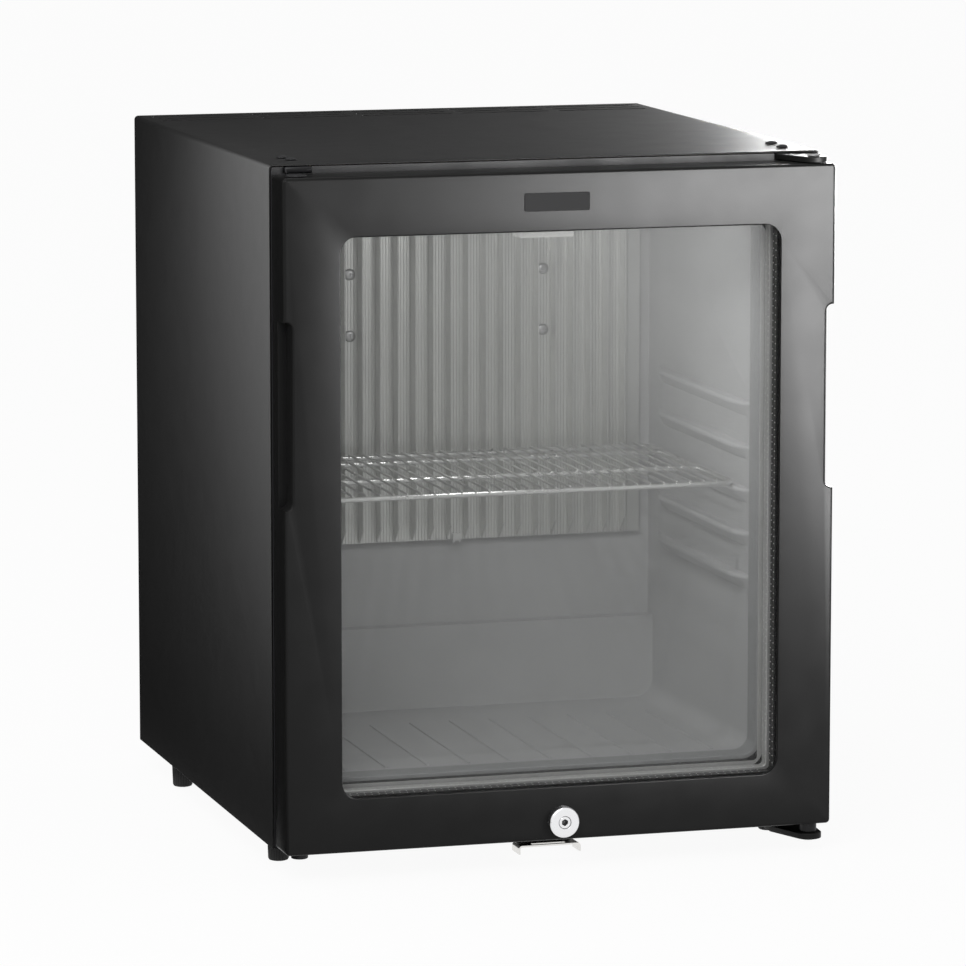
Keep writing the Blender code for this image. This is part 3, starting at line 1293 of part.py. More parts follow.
def build_boiler(cabinet, finishes):
    y = UNIT_FRONT + BOILER_RADIUS
    top = BOILER_BOTTOM + BOILER_HEIGHT
    rim, radius = BOILER_RIM, BOILER_RADIUS
    profile = [
        (radius - 2 * rim, BOILER_BOTTOM),
        (radius, BOILER_BOTTOM + rim),
        (radius, BOILER_BOTTOM + 4 * rim),
        (radius - rim, BOILER_BOTTOM + 5 * rim),
        (radius - rim, top - 5 * rim),
        (radius, top - 4 * rim),
        (radius, top - rim),
        (radius - 2 * rim, top),
        (RISER_RADIUS * 2, top),
    ]
    cabinet.piece("boiler_casing", turned(profile, "z", (BOILER_X, y), 20), finishes["galvanised"])
    condenser_y = UNIT_FRONT + CONDENSER_FIN_HALF
    middle = UPPER_RAIL_Z
    end = CONDENSER_RIGHT + GAP
    corners = [
        (BOILER_X, y, top + GAP),
        (BOILER_X, y, top + (middle - top) * 0.15),
        (BOILER_X, condenser_y, top + (middle - top) * 0.7),
        (BOILER_X, condenser_y, middle),
        (end, condenser_y, middle),
    ]
    tube(cabinet, "boiler_riser", bent(corners, RISER_BEND, 3), RISER_RADIUS, finishes["tube_paint"])
    sleeve_low = BASE_HEIGHT + SHEET + 2 * GAP + BOX_HEIGHT
    profile = [(SLEEVE_RADIUS, sleeve_low), (SLEEVE_RADIUS, BOILER_BOTTOM - GAP)]
    cabinet.piece("heater_sleeve", turned(profile, "z", (BOILER_X, y), 12), finishes["zinc"])


def build_condenser(cabinet, finishes):
    """Square fins along a tube, skinned in one run: each fin is a square ring between two round ones."""
    y = UNIT_FRONT + CONDENSER_FIN_HALF
    z = UPPER_RAIL_Z
    steps = 8
    circle, square = [], []
    for i in range(steps):
        angle = 2 * math.pi * i / steps
        c, s = math.cos(angle), math.sin(angle)
        reach = CONDENSER_FIN_HALF / max(abs(c), abs(s))
        circle.append((CONDENSER_TUBE * c, CONDENSER_TUBE * s))
        square.append((reach * c, reach * s))
    pitch = (CONDENSER_RIGHT - CONDENSER_LEFT - 2 * CONDENSER_END) / (CONDENSER_FINS - 1)
    sections = [(CONDENSER_LEFT, circle)]
    for i in range(CONDENSER_FINS):
        x = CONDENSER_LEFT + CONDENSER_END + i * pitch
        for place, ring in ((-1, circle), (-1, square), (1, square), (1, circle)):
            sections.append((x + place * CONDENSER_FIN_SHEET / 2, ring))
    sections.append((CONDENSER_RIGHT, circle))
    loops = [[(x, y + u, z + v) for u, v in ring] for x, ring in sections]
    cabinet.piece("condenser", loft(bmesh.new(), loops), finishes["tube_paint"])


def coil_path():
    """A run in from the rear panel, the serpentine, and a drop to the vessel."""
    y = UNIT_FRONT + COIL_RADIUS
    bend = COIL_PITCH / 2
    left, right = COIL_LEFT + bend, COIL_RIGHT - bend
    points = bent(
        [(right + bend, RAIL_FRONT, COIL_TOP), (right + bend, y, COIL_TOP), (right, y, COIL_TOP)],
        COIL_RADIUS * 1.6,
        4,
    )
    for run in range(COIL_RUNS - 1):
        z = COIL_TOP - run * COIL_PITCH
        side = -1 if run % 2 == 0 else 1
        end = left if side < 0 else right
        points.append((end, y, z))
        for i in range(1, 7):
            angle = math.pi * i / 7
            x = end + side * bend * math.sin(angle)
            points.append((x, y, z - bend + bend * math.cos(angle)))
        points.append((end, y, z - COIL_PITCH))
    z = COIL_TOP - (COIL_RUNS - 1) * COIL_PITCH
    vessel_y = UNIT_FRONT + VESSEL_RADIUS
    vessel_top = VESSEL_Z + VESSEL_RADIUS + GAP
    drop = z - vessel_top
    corners = [
        (left, y, z),
        (COIL_DROP_X, y, z),
        (COIL_DROP_X, y, z - drop * 0.3),
        (COIL_DROP_X, vessel_y, z - drop * 0.65),
        (COIL_DROP_X, vessel_y, vessel_top),
    ]
    return points + bent(corners, COIL_RADIUS * 1.6, 4)[1:]


def build_absorber(cabinet, finishes):
    y = UNIT_FRONT + VESSEL_RADIUS
    edge, radius = VESSEL_EDGE, VESSEL_RADIUS
    right = VESSEL_RIGHT
    profile = [(radius - edge + u, VESSEL_LEFT + edge - v) for u, v in arc((0, 0), edge, 90, 0, 3)]
    profile += [(radius - edge + u, right - edge + v) for u, v in arc((0, 0), edge, 0, 90, 3)]
    vessel = turned(profile, "x", (y, VESSEL_Z), 16)
    cabinet.piece("absorber_vessel", vessel, finishes["tube_paint"])
    tube(cabinet, "absorber_coil", coil_path(), COIL_RADIUS, finishes["tube_paint"], 1)

    start = right + GAP
    z = VESSEL_Z + FEED_DROP / 4
    corners = [
        (start, y, z),
        (EXCHANGER_X, y, z),
        (EXCHANGER_X, y, EXCHANGER_TOP),
        (EXCHANGER_X, RAIL_FRONT, EXCHANGER_TOP),
    ]
    path = bent(corners, EXCHANGER_BEND)
    tube(cabinet, "heat_exchanger", path, EXCHANGER_RADIUS, finishes["tube_paint"])
    z = VESSEL_Z - FEED_DROP
    boiler_y = UNIT_FRONT + BOILER_RADIUS
    feed = [(start, boiler_y, z), (BOILER_X - BOILER_RADIUS, boiler_y, z)]
    tube(cabinet, "boiler_feed", feed, FEED_RADIUS, finishes["tube_paint"])


def build_control_box(cabinet, finishes):
    low = BASE_HEIGHT + SHEET + GAP
    back = BOX_FRONT + BOX_DEPTH
    shape = box((BOX_LEFT, BOX_FRONT, low), (BOX_LEFT + BOX_WIDTH, back, low + BOX_HEIGHT))
    round_edges(cabinet.piece("control_box", shape, finishes["black_plastic"]), BOX_EDGE)
    start = back + GAP
    end = start + INLET_LENGTH
    profile = [
        (INLET_BORE, start),
        (INLET_RADIUS, start),
        (INLET_RADIUS, start + INLET_LENGTH * 0.4),
        (INLET_RADIUS * 0.8, end),
        (INLET_BORE, end),
    ]
    place = (BOX_LEFT + BOX_WIDTH / 2, low + BOX_HEIGHT / 2)
    inlet = turned(profile, "y", place, 16, hollow=True)
    cabinet.piece("power_inlet", inlet, finishes["black_plastic"])


def main():
    clear_scene()
    finishes = make_materials()
    cabinet = Group("cabinet", ORIGIN)
    build_shell(cabinet, finishes)
    build_base(cabinet, finishes)
    build_foam(cabinet, finishes)
    build_liner(cabinet, finishes)
    build_front_frame(cabinet, finishes)
    build_rear_panel(cabinet, finishes)
    build_evaporator(cabinet, finishes)
    build_lamp(cabinet, finishes)
    build_upper_hinge(cabinet, finishes)
    build_lower_hinge(cabinet, finishes)
    build_keeper(cabinet, finishes)
    build_rails(cabinet, finishes)
    build_boiler(cabinet, finishes)
    build_condenser(cabinet, finishes)
    build_absorber(cabinet, finishes)
    build_control_box(cabinet, finishes)

    door = Group("door", DOOR_AXIS, cabinet)
    build_door_frame(door, finishes)
    build_glazing(door, finishes)
    build_door_fittings(door, finishes)
    build_lock_body(door, finishes)
    lock = Group("lock", LOCK_AXIS, door)
    build_lock_plug(lock, finishes)

    shelf = Group("shelf", SHELF_AXIS, cabinet)
    build_shelf(shelf, finishes)

    names = ("foot_front_left", "foot_front_right", "foot_rear_left", "foot_rear_right")
    for name, place in zip(names, foot_places()):
        build_foot(Group(name + "_axis", Vector((*place, 0)), cabinet), name, place, finishes)


main()
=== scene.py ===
"""Minibar fridge with a glazed door: its pieces, finishes, light and camera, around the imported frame.

Metres, +Z up. Pieces are drawn in the cabinet's own frame, whose y = 0 is the front plane of the
cabinet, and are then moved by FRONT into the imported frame.
"""

import math

import bmesh
import bpy
from bpy.props import FloatProperty, FloatVectorProperty, IntProperty, PointerProperty
from mathutils import Matrix, Vector


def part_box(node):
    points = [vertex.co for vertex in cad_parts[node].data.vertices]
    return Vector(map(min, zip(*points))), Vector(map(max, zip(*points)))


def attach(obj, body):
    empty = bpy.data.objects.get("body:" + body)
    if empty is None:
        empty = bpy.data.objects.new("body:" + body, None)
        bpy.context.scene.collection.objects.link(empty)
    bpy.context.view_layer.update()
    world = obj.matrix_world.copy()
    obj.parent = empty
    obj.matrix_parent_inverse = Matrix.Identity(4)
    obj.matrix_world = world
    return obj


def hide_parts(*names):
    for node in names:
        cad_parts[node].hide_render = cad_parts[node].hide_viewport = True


bl_info = {
    "name": "Minibar fridge",
    "version": (1, 0, 0),
    "blender": (4, 5, 0),
    "location": "3D View > Sidebar > Fridge",
    "description": "Builds the pieces, finishes and studio of a glazed minibar fridge",
    "category": "Object",
}

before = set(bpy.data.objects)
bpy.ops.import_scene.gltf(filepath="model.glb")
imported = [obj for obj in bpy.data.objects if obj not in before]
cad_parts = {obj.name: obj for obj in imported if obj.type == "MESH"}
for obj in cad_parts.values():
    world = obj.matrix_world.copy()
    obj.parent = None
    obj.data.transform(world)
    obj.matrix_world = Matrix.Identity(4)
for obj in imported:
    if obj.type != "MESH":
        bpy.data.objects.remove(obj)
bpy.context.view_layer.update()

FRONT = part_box("outer_shell")[0].y
GAP = 0.0003
WHITE = (1, 1, 1, 1)

# Cabinet. Rectangles are (left, right, low, high).
HALF_WIDTH = 0.201
HEIGHT = 0.500
DEPTH = 0.413
BASE_HEIGHT = 0.019
SEAT = BASE_HEIGHT - GAP
INSIDE_HALF = 0.1997
INSIDE_FLOOR = 0.0203
INSIDE_TOP = 0.4987
LINER_HALF = 0.1605
LINER_FLOOR = 0.0635
LINER_TOP = 0.456
LINER = (-LINER_HALF, LINER_HALF, LINER_FLOOR, LINER_TOP)
LINER_DEPTH = 0.262
LINER_FRONT = 0.0028
LINER_RADIUS = 0.014
FRAME_DEPTH = 0.020
COLD_PLATE_FRONT = 0.2565
LAMP_LOW = 0.4437

# Door
DOOR_HALF = 0.2005
DOOR_BOTTOM = 0.021
DOOR_TOP = 0.494
DOOR = (-DOOR_HALF, DOOR_HALF, DOOR_BOTTOM, DOOR_TOP)
DOOR_FRONT = -0.037
DOOR_BACK = -0.0063
WINDOW = (-0.160, 0.160, 0.0592, 0.4525)
WINDOW_RADIUS = 0.012
PLATE = (-0.028, 0.019, 0.4665, 0.479)
RETAINER_FRONT = -0.0057
RETAINER_BACK = -0.0045
HINGE_X = 0.188
HINGE_Y = -0.025
HINGE = (HINGE_X, HINGE_Y)
PIN_HOLE = 0.0033
BRACKET_ROUNDING = 0.0006
LOCK_Z = 0.0348
LOCK_FRONT = -0.0445

# Rear bay
RAIL_FRONT = 0.3113
RAIL_SHEET = 0.0015
UNIT_FRONT = 0.3236
LOWER_RAIL_Z = 0.075
MIDDLE_RAIL_Z = 0.205
UPPER_RAIL_Z = 0.432
VESSEL_RIGHT = 0.055
BOILER_X = 0.128

# Fixings
BOLT_HOLE = 0.0023
BOLT_PLACES = ((0.184, 0.054), (0.182, 0.025))
BLANK_PLACES = ((-0.179, 0.048), (-0.177, 0.032))
PLATE_SCREW_PLACES = ((-0.0748, 0.346), (-0.0748, 0.392), (0.0748, 0.346), (0.0748, 0.392))
KEEPER_SCREW_PLACES = ((-0.012, 0.023), (0.012, 0.023))
FOOT_PLACES = {
    "foot_front_left": (-0.184, 0.050),
    "foot_front_right": (0.184, 0.050),
    "foot_rear_left": (-0.189, 0.322),
    "foot_rear_right": (0.189, 0.322),
}

# Camera, and the lamps that give gloss alone: place, target, radius and the pieces that each lights
CAMERA_PLACE = (-1.1664, -3.98745, 0.8729)
CAMERA_YAW = 16.398
CAMERA_PITCH = -8.618
SHEENS = {
    "door_sheen": (
        (0.519, -1.015, 0.424), (0.15, -0.2, 0.45), 0.274,
        ("door_moulding", "middle_glass", "inner_glass", "hinge_plate_upper", "wrap", "mouth_plate"),
    ),
    "side_sheen": ((-0.329, -0.025, 0.345), (-0.2, 0, 0.3), 0.265, ("wrap", "slot_cover", "base_tray")),
    "top_sheen": (
        (0.579, 0.474, 0.529), (0.1, 0, 0.5), 0.204,
        ("wrap", "slot_cover", "mouth_plate", "door_moulding", "hinge_plate_upper"),
    ),
}


def length(name, default, description):
    return FloatProperty(name=name, description=description, default=default, unit="LENGTH", precision=5)


def count(name, default, description, least=1):
    return IntProperty(name=name, description=description, default=default, min=least)


def number(name, default, description):
    return FloatProperty(name=name, description=description, default=default, min=0)


def colour(name, default, description):
    return FloatVectorProperty(
        name=name, description=description, default=default, subtype="COLOR", size=3, min=0, max=1
    )


class CabinetSizes(bpy.types.PropertyGroup):
    """Sizes of the cabinet's visible detail."""

    sheet: length("Sheet", 0.001, "Thickness of the folded steel")
    fold_radius: length("Fold radius", 0.003, "Outside radius of the wrap's two folds")
    vent_width: length("Vent width", 0.005, "Width of an air slot in the top")
    vent_pitch: length("Vent pitch", 0.0165, "From one row of air slots to the next")
    vent_divider: length("Vent divider", 0.0075, "Metal left between two air slots of a row")
    back_rounding: length("Back rounding", 0.004, "Radius where the liner's walls meet its back")
    edge_rounding: length("Edge rounding", 0.0007, "Radius on the liner's ledges and ribs")
    ledge_pitch: length("Ledge pitch", 0.0315, "Height from one shelf ledge to the next")
    ledge_reach: length("Ledge reach", 0.0085, "How far a shelf ledge stands out of the wall")
    fins: count("Fins", 21, "Fins on the cold plate", 2)
    fin_pitch: length("Fin pitch", 0.0136, "From one fin of the cold plate to the next")
    fin_depth: length("Fin depth", 0.012, "How far a fin stands out of the cold plate")
    fin_sheet: length("Fin thickness", 0.0012, "Thickness of a fin")
    ridges: count("Ridges", 6, "Fine ridges between two fins")
    ridge_height: length("Ridge height", 0.00035, "Height of a fine ridge on the cold plate")


class DoorSizes(bpy.types.PropertyGroup):
    """Sizes of the door's visible detail."""

    edge_radius: length("Edge radius", 0.0022, "Rounding of the moulding's outer front edge")
    corner_radius: length("Corner radius", 0.003, "Rounding of the door's four corners")
    lip_radius: length("Lip radius", 0.0006, "Rounding of the window's edge")
    grip_depth: length("Grip depth", 0.006, "How far a grip is cut into the side")
    grip_rounding: length("Grip rounding", 0.0018, "Rounding of a grip's front edge")
    spacer_width: length("Spacer width", 0.0065, "Width of the bar between two panes")
    hole_pitch: length("Hole pitch", 0.0051, "From one punched hole in a spacer to the next")
    hole_radius: length("Hole radius", 0.0007, "Half the length of a punched hole in a spacer")


class ShelfSizes(bpy.types.PropertyGroup):
    """Sizes of the welded wire shelf."""

    frame_wire: length("Frame wire", 0.002, "Radius of the frame and cross wires")
    thin_wire: length("Thin wire", 0.0009, "Radius of the thin wires")
    pitch: length("Pitch", 0.01005, "From one thin wire to the next")
    wires: count("Wires", 29, "Thin wires from front to back")
    corner: length("Corner", 0.009, "Bend radius of the frame wire")


class UnitSizes(bpy.types.PropertyGroup):
    """Sizes of the cooling unit in the rear bay."""

    fin_half: length("Fin half width", 0.028, "Half the width of a condenser fin")
    fins: count("Fins", 20, "Fins on the condenser", 2)
    coil_radius: length("Coil radius", 0.0065, "Outside radius of the serpentine tube")
    coil_pitch: length("Coil pitch", 0.036, "From one run of the serpentine to the next")
    coil_runs: count("Coil runs", 6, "Runs of the serpentine", 2)
    vessel_radius: length("Vessel radius", 0.030, "Outside radius of the absorber vessel")
    boiler_radius: length("Boiler radius", 0.038, "Outside radius of the boiler's casing")


class Colours(bpy.types.PropertyGroup):
    """Base colours of the finishes."""

    steel: colour("Steel", (0.006, 0.006, 0.006), "Powder coat on wrap, base and brackets")
    door: colour("Door", (0.0085, 0.0085, 0.0085), "Moulded plastic of the door")
    black: colour("Black plastic", (0.010, 0.010, 0.011), "Caps, plugs and boxes")
    liner: colour("Liner", (0.64, 0.642, 0.645), "Liner of the cabinet")
    # The lip is the liner's plastic painted darker: painted shade on the trim round the mouth.
    lip: colour("Liner lip", (0.42, 0.425, 0.43), "Trim round the mouth")
    bead: colour("Pane bead", (0.62, 0.62, 0.61), "Bead round the inner pane")
    aluminium: colour("Aluminium", (0.80, 0.805, 0.785), "Cold plate")
    wire: colour("Wire", (0.80, 0.80, 0.79), "Wire of the shelf")
    white: colour("White", (0.85, 0.85, 0.84), "Lamp and clip")
    zinc: colour("Zinc", (0.50, 0.50, 0.50), "Plated screws, pins and nut")
    bright: colour("Bright steel", (0.80, 0.79, 0.77), "Plated keeper")
    chrome: colour("Chrome", (0.86, 0.86, 0.87), "Lock")
    spacer: colour("Spacer", (0.62, 0.62, 0.61), "Inner spacer between the panes")
    galvanised: colour("Galvanised", (0.52, 0.54, 0.55), "Rear panel, rails and casing")
    tubes: colour("Tubes", (0.02, 0.02, 0.02), "Paint of the cooling unit")
    rubber: colour("Rubber", (0.018, 0.018, 0.018), "Door seal and feet")
    foam: colour("Foam", (0.80, 0.70, 0.45), "Insulation")


class Studio(bpy.types.PropertyGroup):
    """Light and camera."""

    sky: number("Sky", 0.55, "Strength of the even light from all round")
    front: number("Front lamp", 34.0, "Power of the lamp high at the front left, in watts")
    inside: number("Inside lamp", 0.23, "Power of the fridge's own lamp, in watts")
    side: number("Side lamp", 6.0, "Power of the lamp at the left, in watts")
    door_sheen: number("Door sheen", 41.0, "Power of the lamp whose gloss crosses the door, in watts")
    side_sheen: number("Side sheen", 2.2, "Power of the lamp whose gloss lies on the left side, in watts")
    top_sheen: number("Top sheen", 18.0, "Power of the lamp whose gloss lies on the top, in watts")
    floor: colour("Floor", (0.86, 0.86, 0.86), "Colour of the floor")
    lens: FloatProperty(name="Lens", description="Focal length", default=212.81, unit="CAMERA")


GROUPS = {
    "fridge_cabinet": CabinetSizes,
    "fridge_door": DoorSizes,
    "fridge_shelf": ShelfSizes,
    "fridge_unit": UnitSizes,
    "fridge_colours": Colours,
    "fridge_studio": Studio,
}


class Finish:
    """The nodes of a material or world being made, of which add gives the socket with its result."""

    def __init__(self, name, owner=None):
        self.owner = owner or bpy.data.materials.new(name)
        self.owner.use_nodes = True
        self.tree = self.owner.node_tree
        self.tree.nodes.clear()

    def node(self, kind, values=None, **settings):
        node = self.tree.nodes.new("ShaderNode" + kind)
        for key, value in settings.items():
            setattr(node, key, value)
        for key, value in (values or {}).items():
            if isinstance(value, bpy.types.NodeSocket):
                self.tree.links.new(value, node.inputs[key])
            else:
                node.inputs[key].default_value = value
        return node

    def add(self, kind, values=None, output=0, **settings):
        return self.node(kind, values, **settings).outputs[output]

    def scaled(self, scale):
        """A point's place on the piece, scaled along each axis."""
        return self.add("Mapping", {"Vector": self.add("TexCoord", output="Object"), "Scale": scale})

    def noise(self, size, detail=2.0, stretch=(1, 1, 1)):
        """Noise with features of a size in metres, drawn out along each axis by its stretch."""
        place = self.scaled([1 / (size * s) for s in stretch])
        return self.add("TexNoise", {"Vector": place, "Scale": 1.0, "Detail": detail})

    def cells(self, size):
        cell = self.add("TexVoronoi", {"Vector": self.scaled([1 / size] * 3), "Scale": 1.0}, "Color")
        return self.add("RGBToBW", {"Color": cell})

    def between(self, field, low, high, start=0.35, end=0.65):
        values = {"Value": field, "From Min": start, "From Max": end, "To Min": low, "To Max": high}
        return self.add("MapRange", values)

    def sum(self, first, second, operation="ADD"):
        return self.add("Math", {0: first, 1: second}, operation=operation)

    def mix(self, factor, first, second):
        return self.add("Mix", {0: factor, 6: first, 7: second}, 2, data_type="RGBA")

    def bump(self, field, depth):
        return self.add("Bump", {"Height": field, "Distance": depth, "Strength": 1.0})

    def worn_and_highlit_edges(self, radius):
        """1 on the parts of an edge where hands and cloths have rubbed it and where a highlight of its
        rounding is painted, 0 elsewhere.
        """
        rounded = self.add("Bevel", {"Radius": radius}, samples=4)
        normal = self.add("NewGeometry", output="Normal")
        turn = self.add("VectorMath", {0: rounded, 1: normal}, "Value", operation="DOT_PRODUCT")
        edge = self.between(turn, 1.0, 0.0, 0.90, 0.995)
        return self.sum(edge, self.between(self.noise(0.006, 4), 0.0, 1.0, 0.45, 0.7), "MULTIPLY")

    def seen(self):
        """1 for camera, glossy and transmission rays, and 0 for the diffuse ones that light the object."""
        path = self.node("LightPath").outputs
        total = path["Is Camera Ray"]
        for name in ("Is Glossy Ray", "Is Transmission Ray"):
            total = self.add("Math", {0: total, 1: path[name]}, use_clamp=True)
        return total

    def done(self, shader, values, target="Material"):
        """Ends the nodes in a shader, and gives what they belong to."""
        self.node("Output" + target, {"Surface": self.add(shader, values)})
        return self.owner


def tinted(rgb, factor):
    return (*[min(1.0, channel * factor) for channel in rgb], 1.0)


def surface(
    name, rgb, rough, grain, metallic=0.0, specular=0.5, stretch=(1, 1, 1), drift=0.10, swing=0.06,
    wear_and_highlight=0.0, coat=0.0, spangle=0.0
):
    """A finish with slow colour drift, a fine grain in bump, uneven gloss, and lighter edges, partly rubbed
    and partly a painted highlight.

    The grain is (size, depth) in metres, drift a share of the colour, and swing that of the roughness.
    """
    finish = Finish(name)
    size, depth = grain
    fine = finish.noise(size, 3, stretch)
    if spangle:
        shade = finish.between(finish.cells(spangle), 0.0, 1.0, 0.1, 0.9)
    else:
        shade = finish.between(finish.noise(0.09, 4), 0.0, 1.0)
    base = finish.mix(shade, tinted(rgb, 1 - drift), tinted(rgb, 1 + drift))
    base = finish.mix(finish.between(fine, 0.0, 0.35), base, tinted(rgb, 1 - 2 * drift))
    smear = finish.between(finish.noise(0.025, 5), rough - swing, rough + swing)
    gloss = finish.sum(smear, finish.between(fine, -swing / 2, swing / 2))
    # Lighter, glossier edges: partly rubbed, partly a painted highlight along the rounding.
    if wear_and_highlight:
        worn_and_highlit = finish.worn_and_highlit_edges(0.0008)
        light = tuple(channel + wear_and_highlight * (0.35 - channel) for channel in rgb)
        base = finish.mix(worn_and_highlit, base, (*light, 1.0))
        gloss = finish.sum(gloss, finish.between(worn_and_highlit, 0.0, -swing, 0.0, 1.0))
    values = {
        "Base Color": base,
        "Roughness": gloss,
        "Normal": finish.bump(fine, depth),
        "Metallic": metallic,
        "Specular IOR Level": specular,
        "Coat Weight": coat,
        "Coat Roughness": 0.12,
    }
    return finish.done("BsdfPrincipled", values)


def glass_finish(name):
    """A clear pane: mostly seen through, with a faint reflection, smears and a cold tint."""
    finish = Finish(name)
    smear, dust = finish.noise(0.05, 5), finish.noise(0.0015, 3)
    values = {
        "Base Color": (0.10, 0.10, 0.10, 1.0),
        "Roughness": finish.sum(finish.between(smear, 0.27, 0.33), finish.between(dust, 0.0, 0.01)),
        "Specular IOR Level": 0.5,
    }
    pane = finish.add("BsdfPrincipled", values)
    clear = finish.add("BsdfTransparent", {"Color": (0.984, 0.985, 0.984, 1.0)})
    return finish.done("MixShader", {0: finish.between(smear, 0.058, 0.070), 1: clear, 2: pane})


def lens_finish(name, rgb):
    """Milky plastic with light scattered inside it, and a faint glow of its own; on the spacers' holes this
    glow is a painted glint.
    """
    finish = Finish(name)
    slow = finish.noise(0.01, 3)
    values = {
        "Base Color": finish.mix(slow, tinted(rgb, 0.96), tinted(rgb, 1.04)),
        "Roughness": finish.between(slow, 0.25, 0.4),
        "Normal": finish.bump(finish.noise(0.0006, 3), 0.00001),
        "Emission Color": (1.0, 0.99, 0.97, 1.0),
        "Emission Strength": 0.25,
    }
    return finish.done("BsdfPrincipled", values)


def make_finishes(tones):
    """One finish for each material slot of the record, one for the liner's lip that is the liner's plastic
    painted darker as shade, and one for the pane's bead.
    """
    black = dict(specular=0.25, drift=0.12)
    pale = dict(drift=0.02, swing=0.05)
    coat = dict(specular=0.15, drift=0.04, swing=0.015, wear_and_highlight=0.05)
    door = dict(specular=0.1, drift=0.05, swing=0.015, wear_and_highlight=0.03)
    extruded = dict(stretch=(1, 1, 2000), drift=0.03, swing=0.03)
    liner_grain, thin_grain = (0.0012, 0.000008), (0.0004, 0.000006)
    return {
        "painted_steel": surface("powder_coat", tones.steel, 0.5, (0.0007, 0.000006), **coat),
        "frame_plastic": surface("frame_moulding", tones.black, 0.5, (0.0007, 0.00002), **black),
        "liner_plastic": surface("liner_sheet", tones.liner, 0.36, liner_grain, specular=0.4, **pale),
        # The liner's plastic painted darker for the lip: painted shade.
        "liner_lip": surface("liner_lip", tones.lip, 0.42, liner_grain, specular=0.3, **pale),
        "pane_bead": surface(
            "pane_bead", tones.bead, 0.5, (0.0008, 0.000006), specular=0.3, drift=0.02, swing=0.04
        ),
        "foam": surface("rigid_foam", tones.foam, 0.9, (0.0015, 0.0002), drift=0.08),
        "galvanised": surface(
            "spangled_zinc", tones.galvanised, 0.45, (0.0006, 0.000004), 1.0, spangle=0.009, drift=0.12
        ),
        "evaporator_aluminium": surface(
            "extruded_aluminium", tones.aluminium, 0.38, (0.0005, 0.000003), 0.85, **extruded
        ),
        "tube_paint": surface("unit_paint", tones.tubes, 0.5, (0.0012, 0.00004), wear_and_highlight=0.1, **black),
        "zinc": surface("zinc_plate", tones.zinc, 0.38, (0.0003, 0.000005), 1.0, drift=0.08),
        "keeper_steel": surface("bright_plate", tones.bright, 0.25, (0.0004, 0.000004), 1.0, drift=0.05),
        "black_plastic": surface("plain_moulding", tones.black, 0.42, (0.0006, 0.00001), **black),
        "white_plastic": surface("white_moulding", tones.white, 0.35, (0.0006, 0.000008), **pale),
        "lamp_lens": lens_finish("milky_lens", tones.white),
        "door_plastic": surface("door_moulding", tones.door, 0.30, (0.0009, 0.00004), **door),
        "back_frame_plastic": surface("back_moulding", tones.black, 0.45, (0.0007, 0.00001), **black),
        "glass": glass_finish("clear_pane"),
        "outer_spacer": surface("dark_bar", (0.02, 0.02, 0.02), 0.4, thin_grain, 0.6),
        "inner_spacer": surface("grey_bar", tones.spacer, 0.42, thin_grain, 0.5, drift=0.05),
        "seal_rubber": surface("seal_rubber", tones.rubber, 0.6, (0.001, 0.00002), **black),
        "badge": surface(
            "bare_gloss_plate", (0.008, 0.008, 0.009), 0.16, (0.002, 0.000004), swing=0.04, coat=0.4
        ),
        "chrome": surface("satin_chrome", tones.chrome, 0.24, (0.0003, 0.000004), 1.0, **pale),
        "shelf_wire": surface(
            "bright_wire", tones.wire, 0.30, (0.0009, 0.000006), 0.85, drift=0.04, swing=0.04
        ),
        "foot_rubber": surface("foot_moulding", tones.rubber, 0.55, (0.0008, 0.00002), **black),
    }


finishes = {}


def arc(centre, radius, start, end, steps):
    """Points on an arc, angles in degrees."""
    angles = [math.radians(start + (end - start) * i / steps) for i in range(steps + 1)]
    return [(centre[0] + radius * math.cos(angle), centre[1] + radius * math.sin(angle)) for angle in angles]


def circle(centre, radius, sides):
    return arc(centre, radius, 0, 360 * (sides - 1) / sides, sides - 1)


def quarter(radius, steps):
    """How far a rounded edge has left each of its two faces, step by step round it."""
    for step in range(steps + 1):
        angle = math.pi / 2 * step / steps
        yield radius * (1 - math.cos(angle)), radius * (1 - math.sin(angle))


def rounded_rect(left, right, low, high, radius, steps=6):
    left, right, low, high = left + radius, right - radius, low + radius, high - radius
    points = []
    for centre, start in (((right, low), 270), ((right, high), 0), ((left, high), 90), ((left, low), 180)):
        points += arc(centre, radius, start, start + 90, steps)
    return points


def grown(rect, offset, radius, steps=8):
    """A rounded rectangle round a plain one, further out by an offset."""
    left, right, low, high = rect
    return rounded_rect(left - offset, right + offset, low - offset, high + offset, radius, steps)


def fillet(before, here, after, radius, steps):
    """Points on the arc that rounds a corner, or the corner itself where there is nothing to round."""
    into, out = (here - before).normalized(), (after - here).normalized()
    turn = into.angle(out)
    if radius == 0 or turn < 0.01:
        return [here]
    start = here - into * radius * math.tan(turn / 2)
    side = (out - into * into.dot(out)).normalized()
    angles = [turn * i / steps for i in range(steps + 1)]
    return [start + side * radius * (1 - math.cos(a)) + into * radius * math.sin(a) for a in angles]


def softened(corners, steps=5):
    """A closed outline through corners (u, v, radius), each rounded to its radius."""
    places = [Vector(corner[:2]) for corner in corners]
    points = []
    for i, (_, _, radius) in enumerate(corners):
        points += fillet(places[i - 1], places[i], places[(i + 1) % len(places)], radius, steps)
    return [(point.x, point.y) for point in points]


def bent(corners, radius, steps=8):
    """A path through corners, with each inner corner rounded to a radius."""
    corners = [Vector(corner) for corner in corners]
    path = [corners[0]]
    for before, corner, after in zip(corners, corners[1:], corners[2:]):
        path += fillet(before, corner, after, radius, steps)
    return path + [corners[-1]]


def at(axis, u, v, along):
    """A point from its two coordinates on a cross-section and its place along the section's axis."""
    return {"x": (along, u, v), "y": (u, along, v), "z": (u, v, along)}[axis]


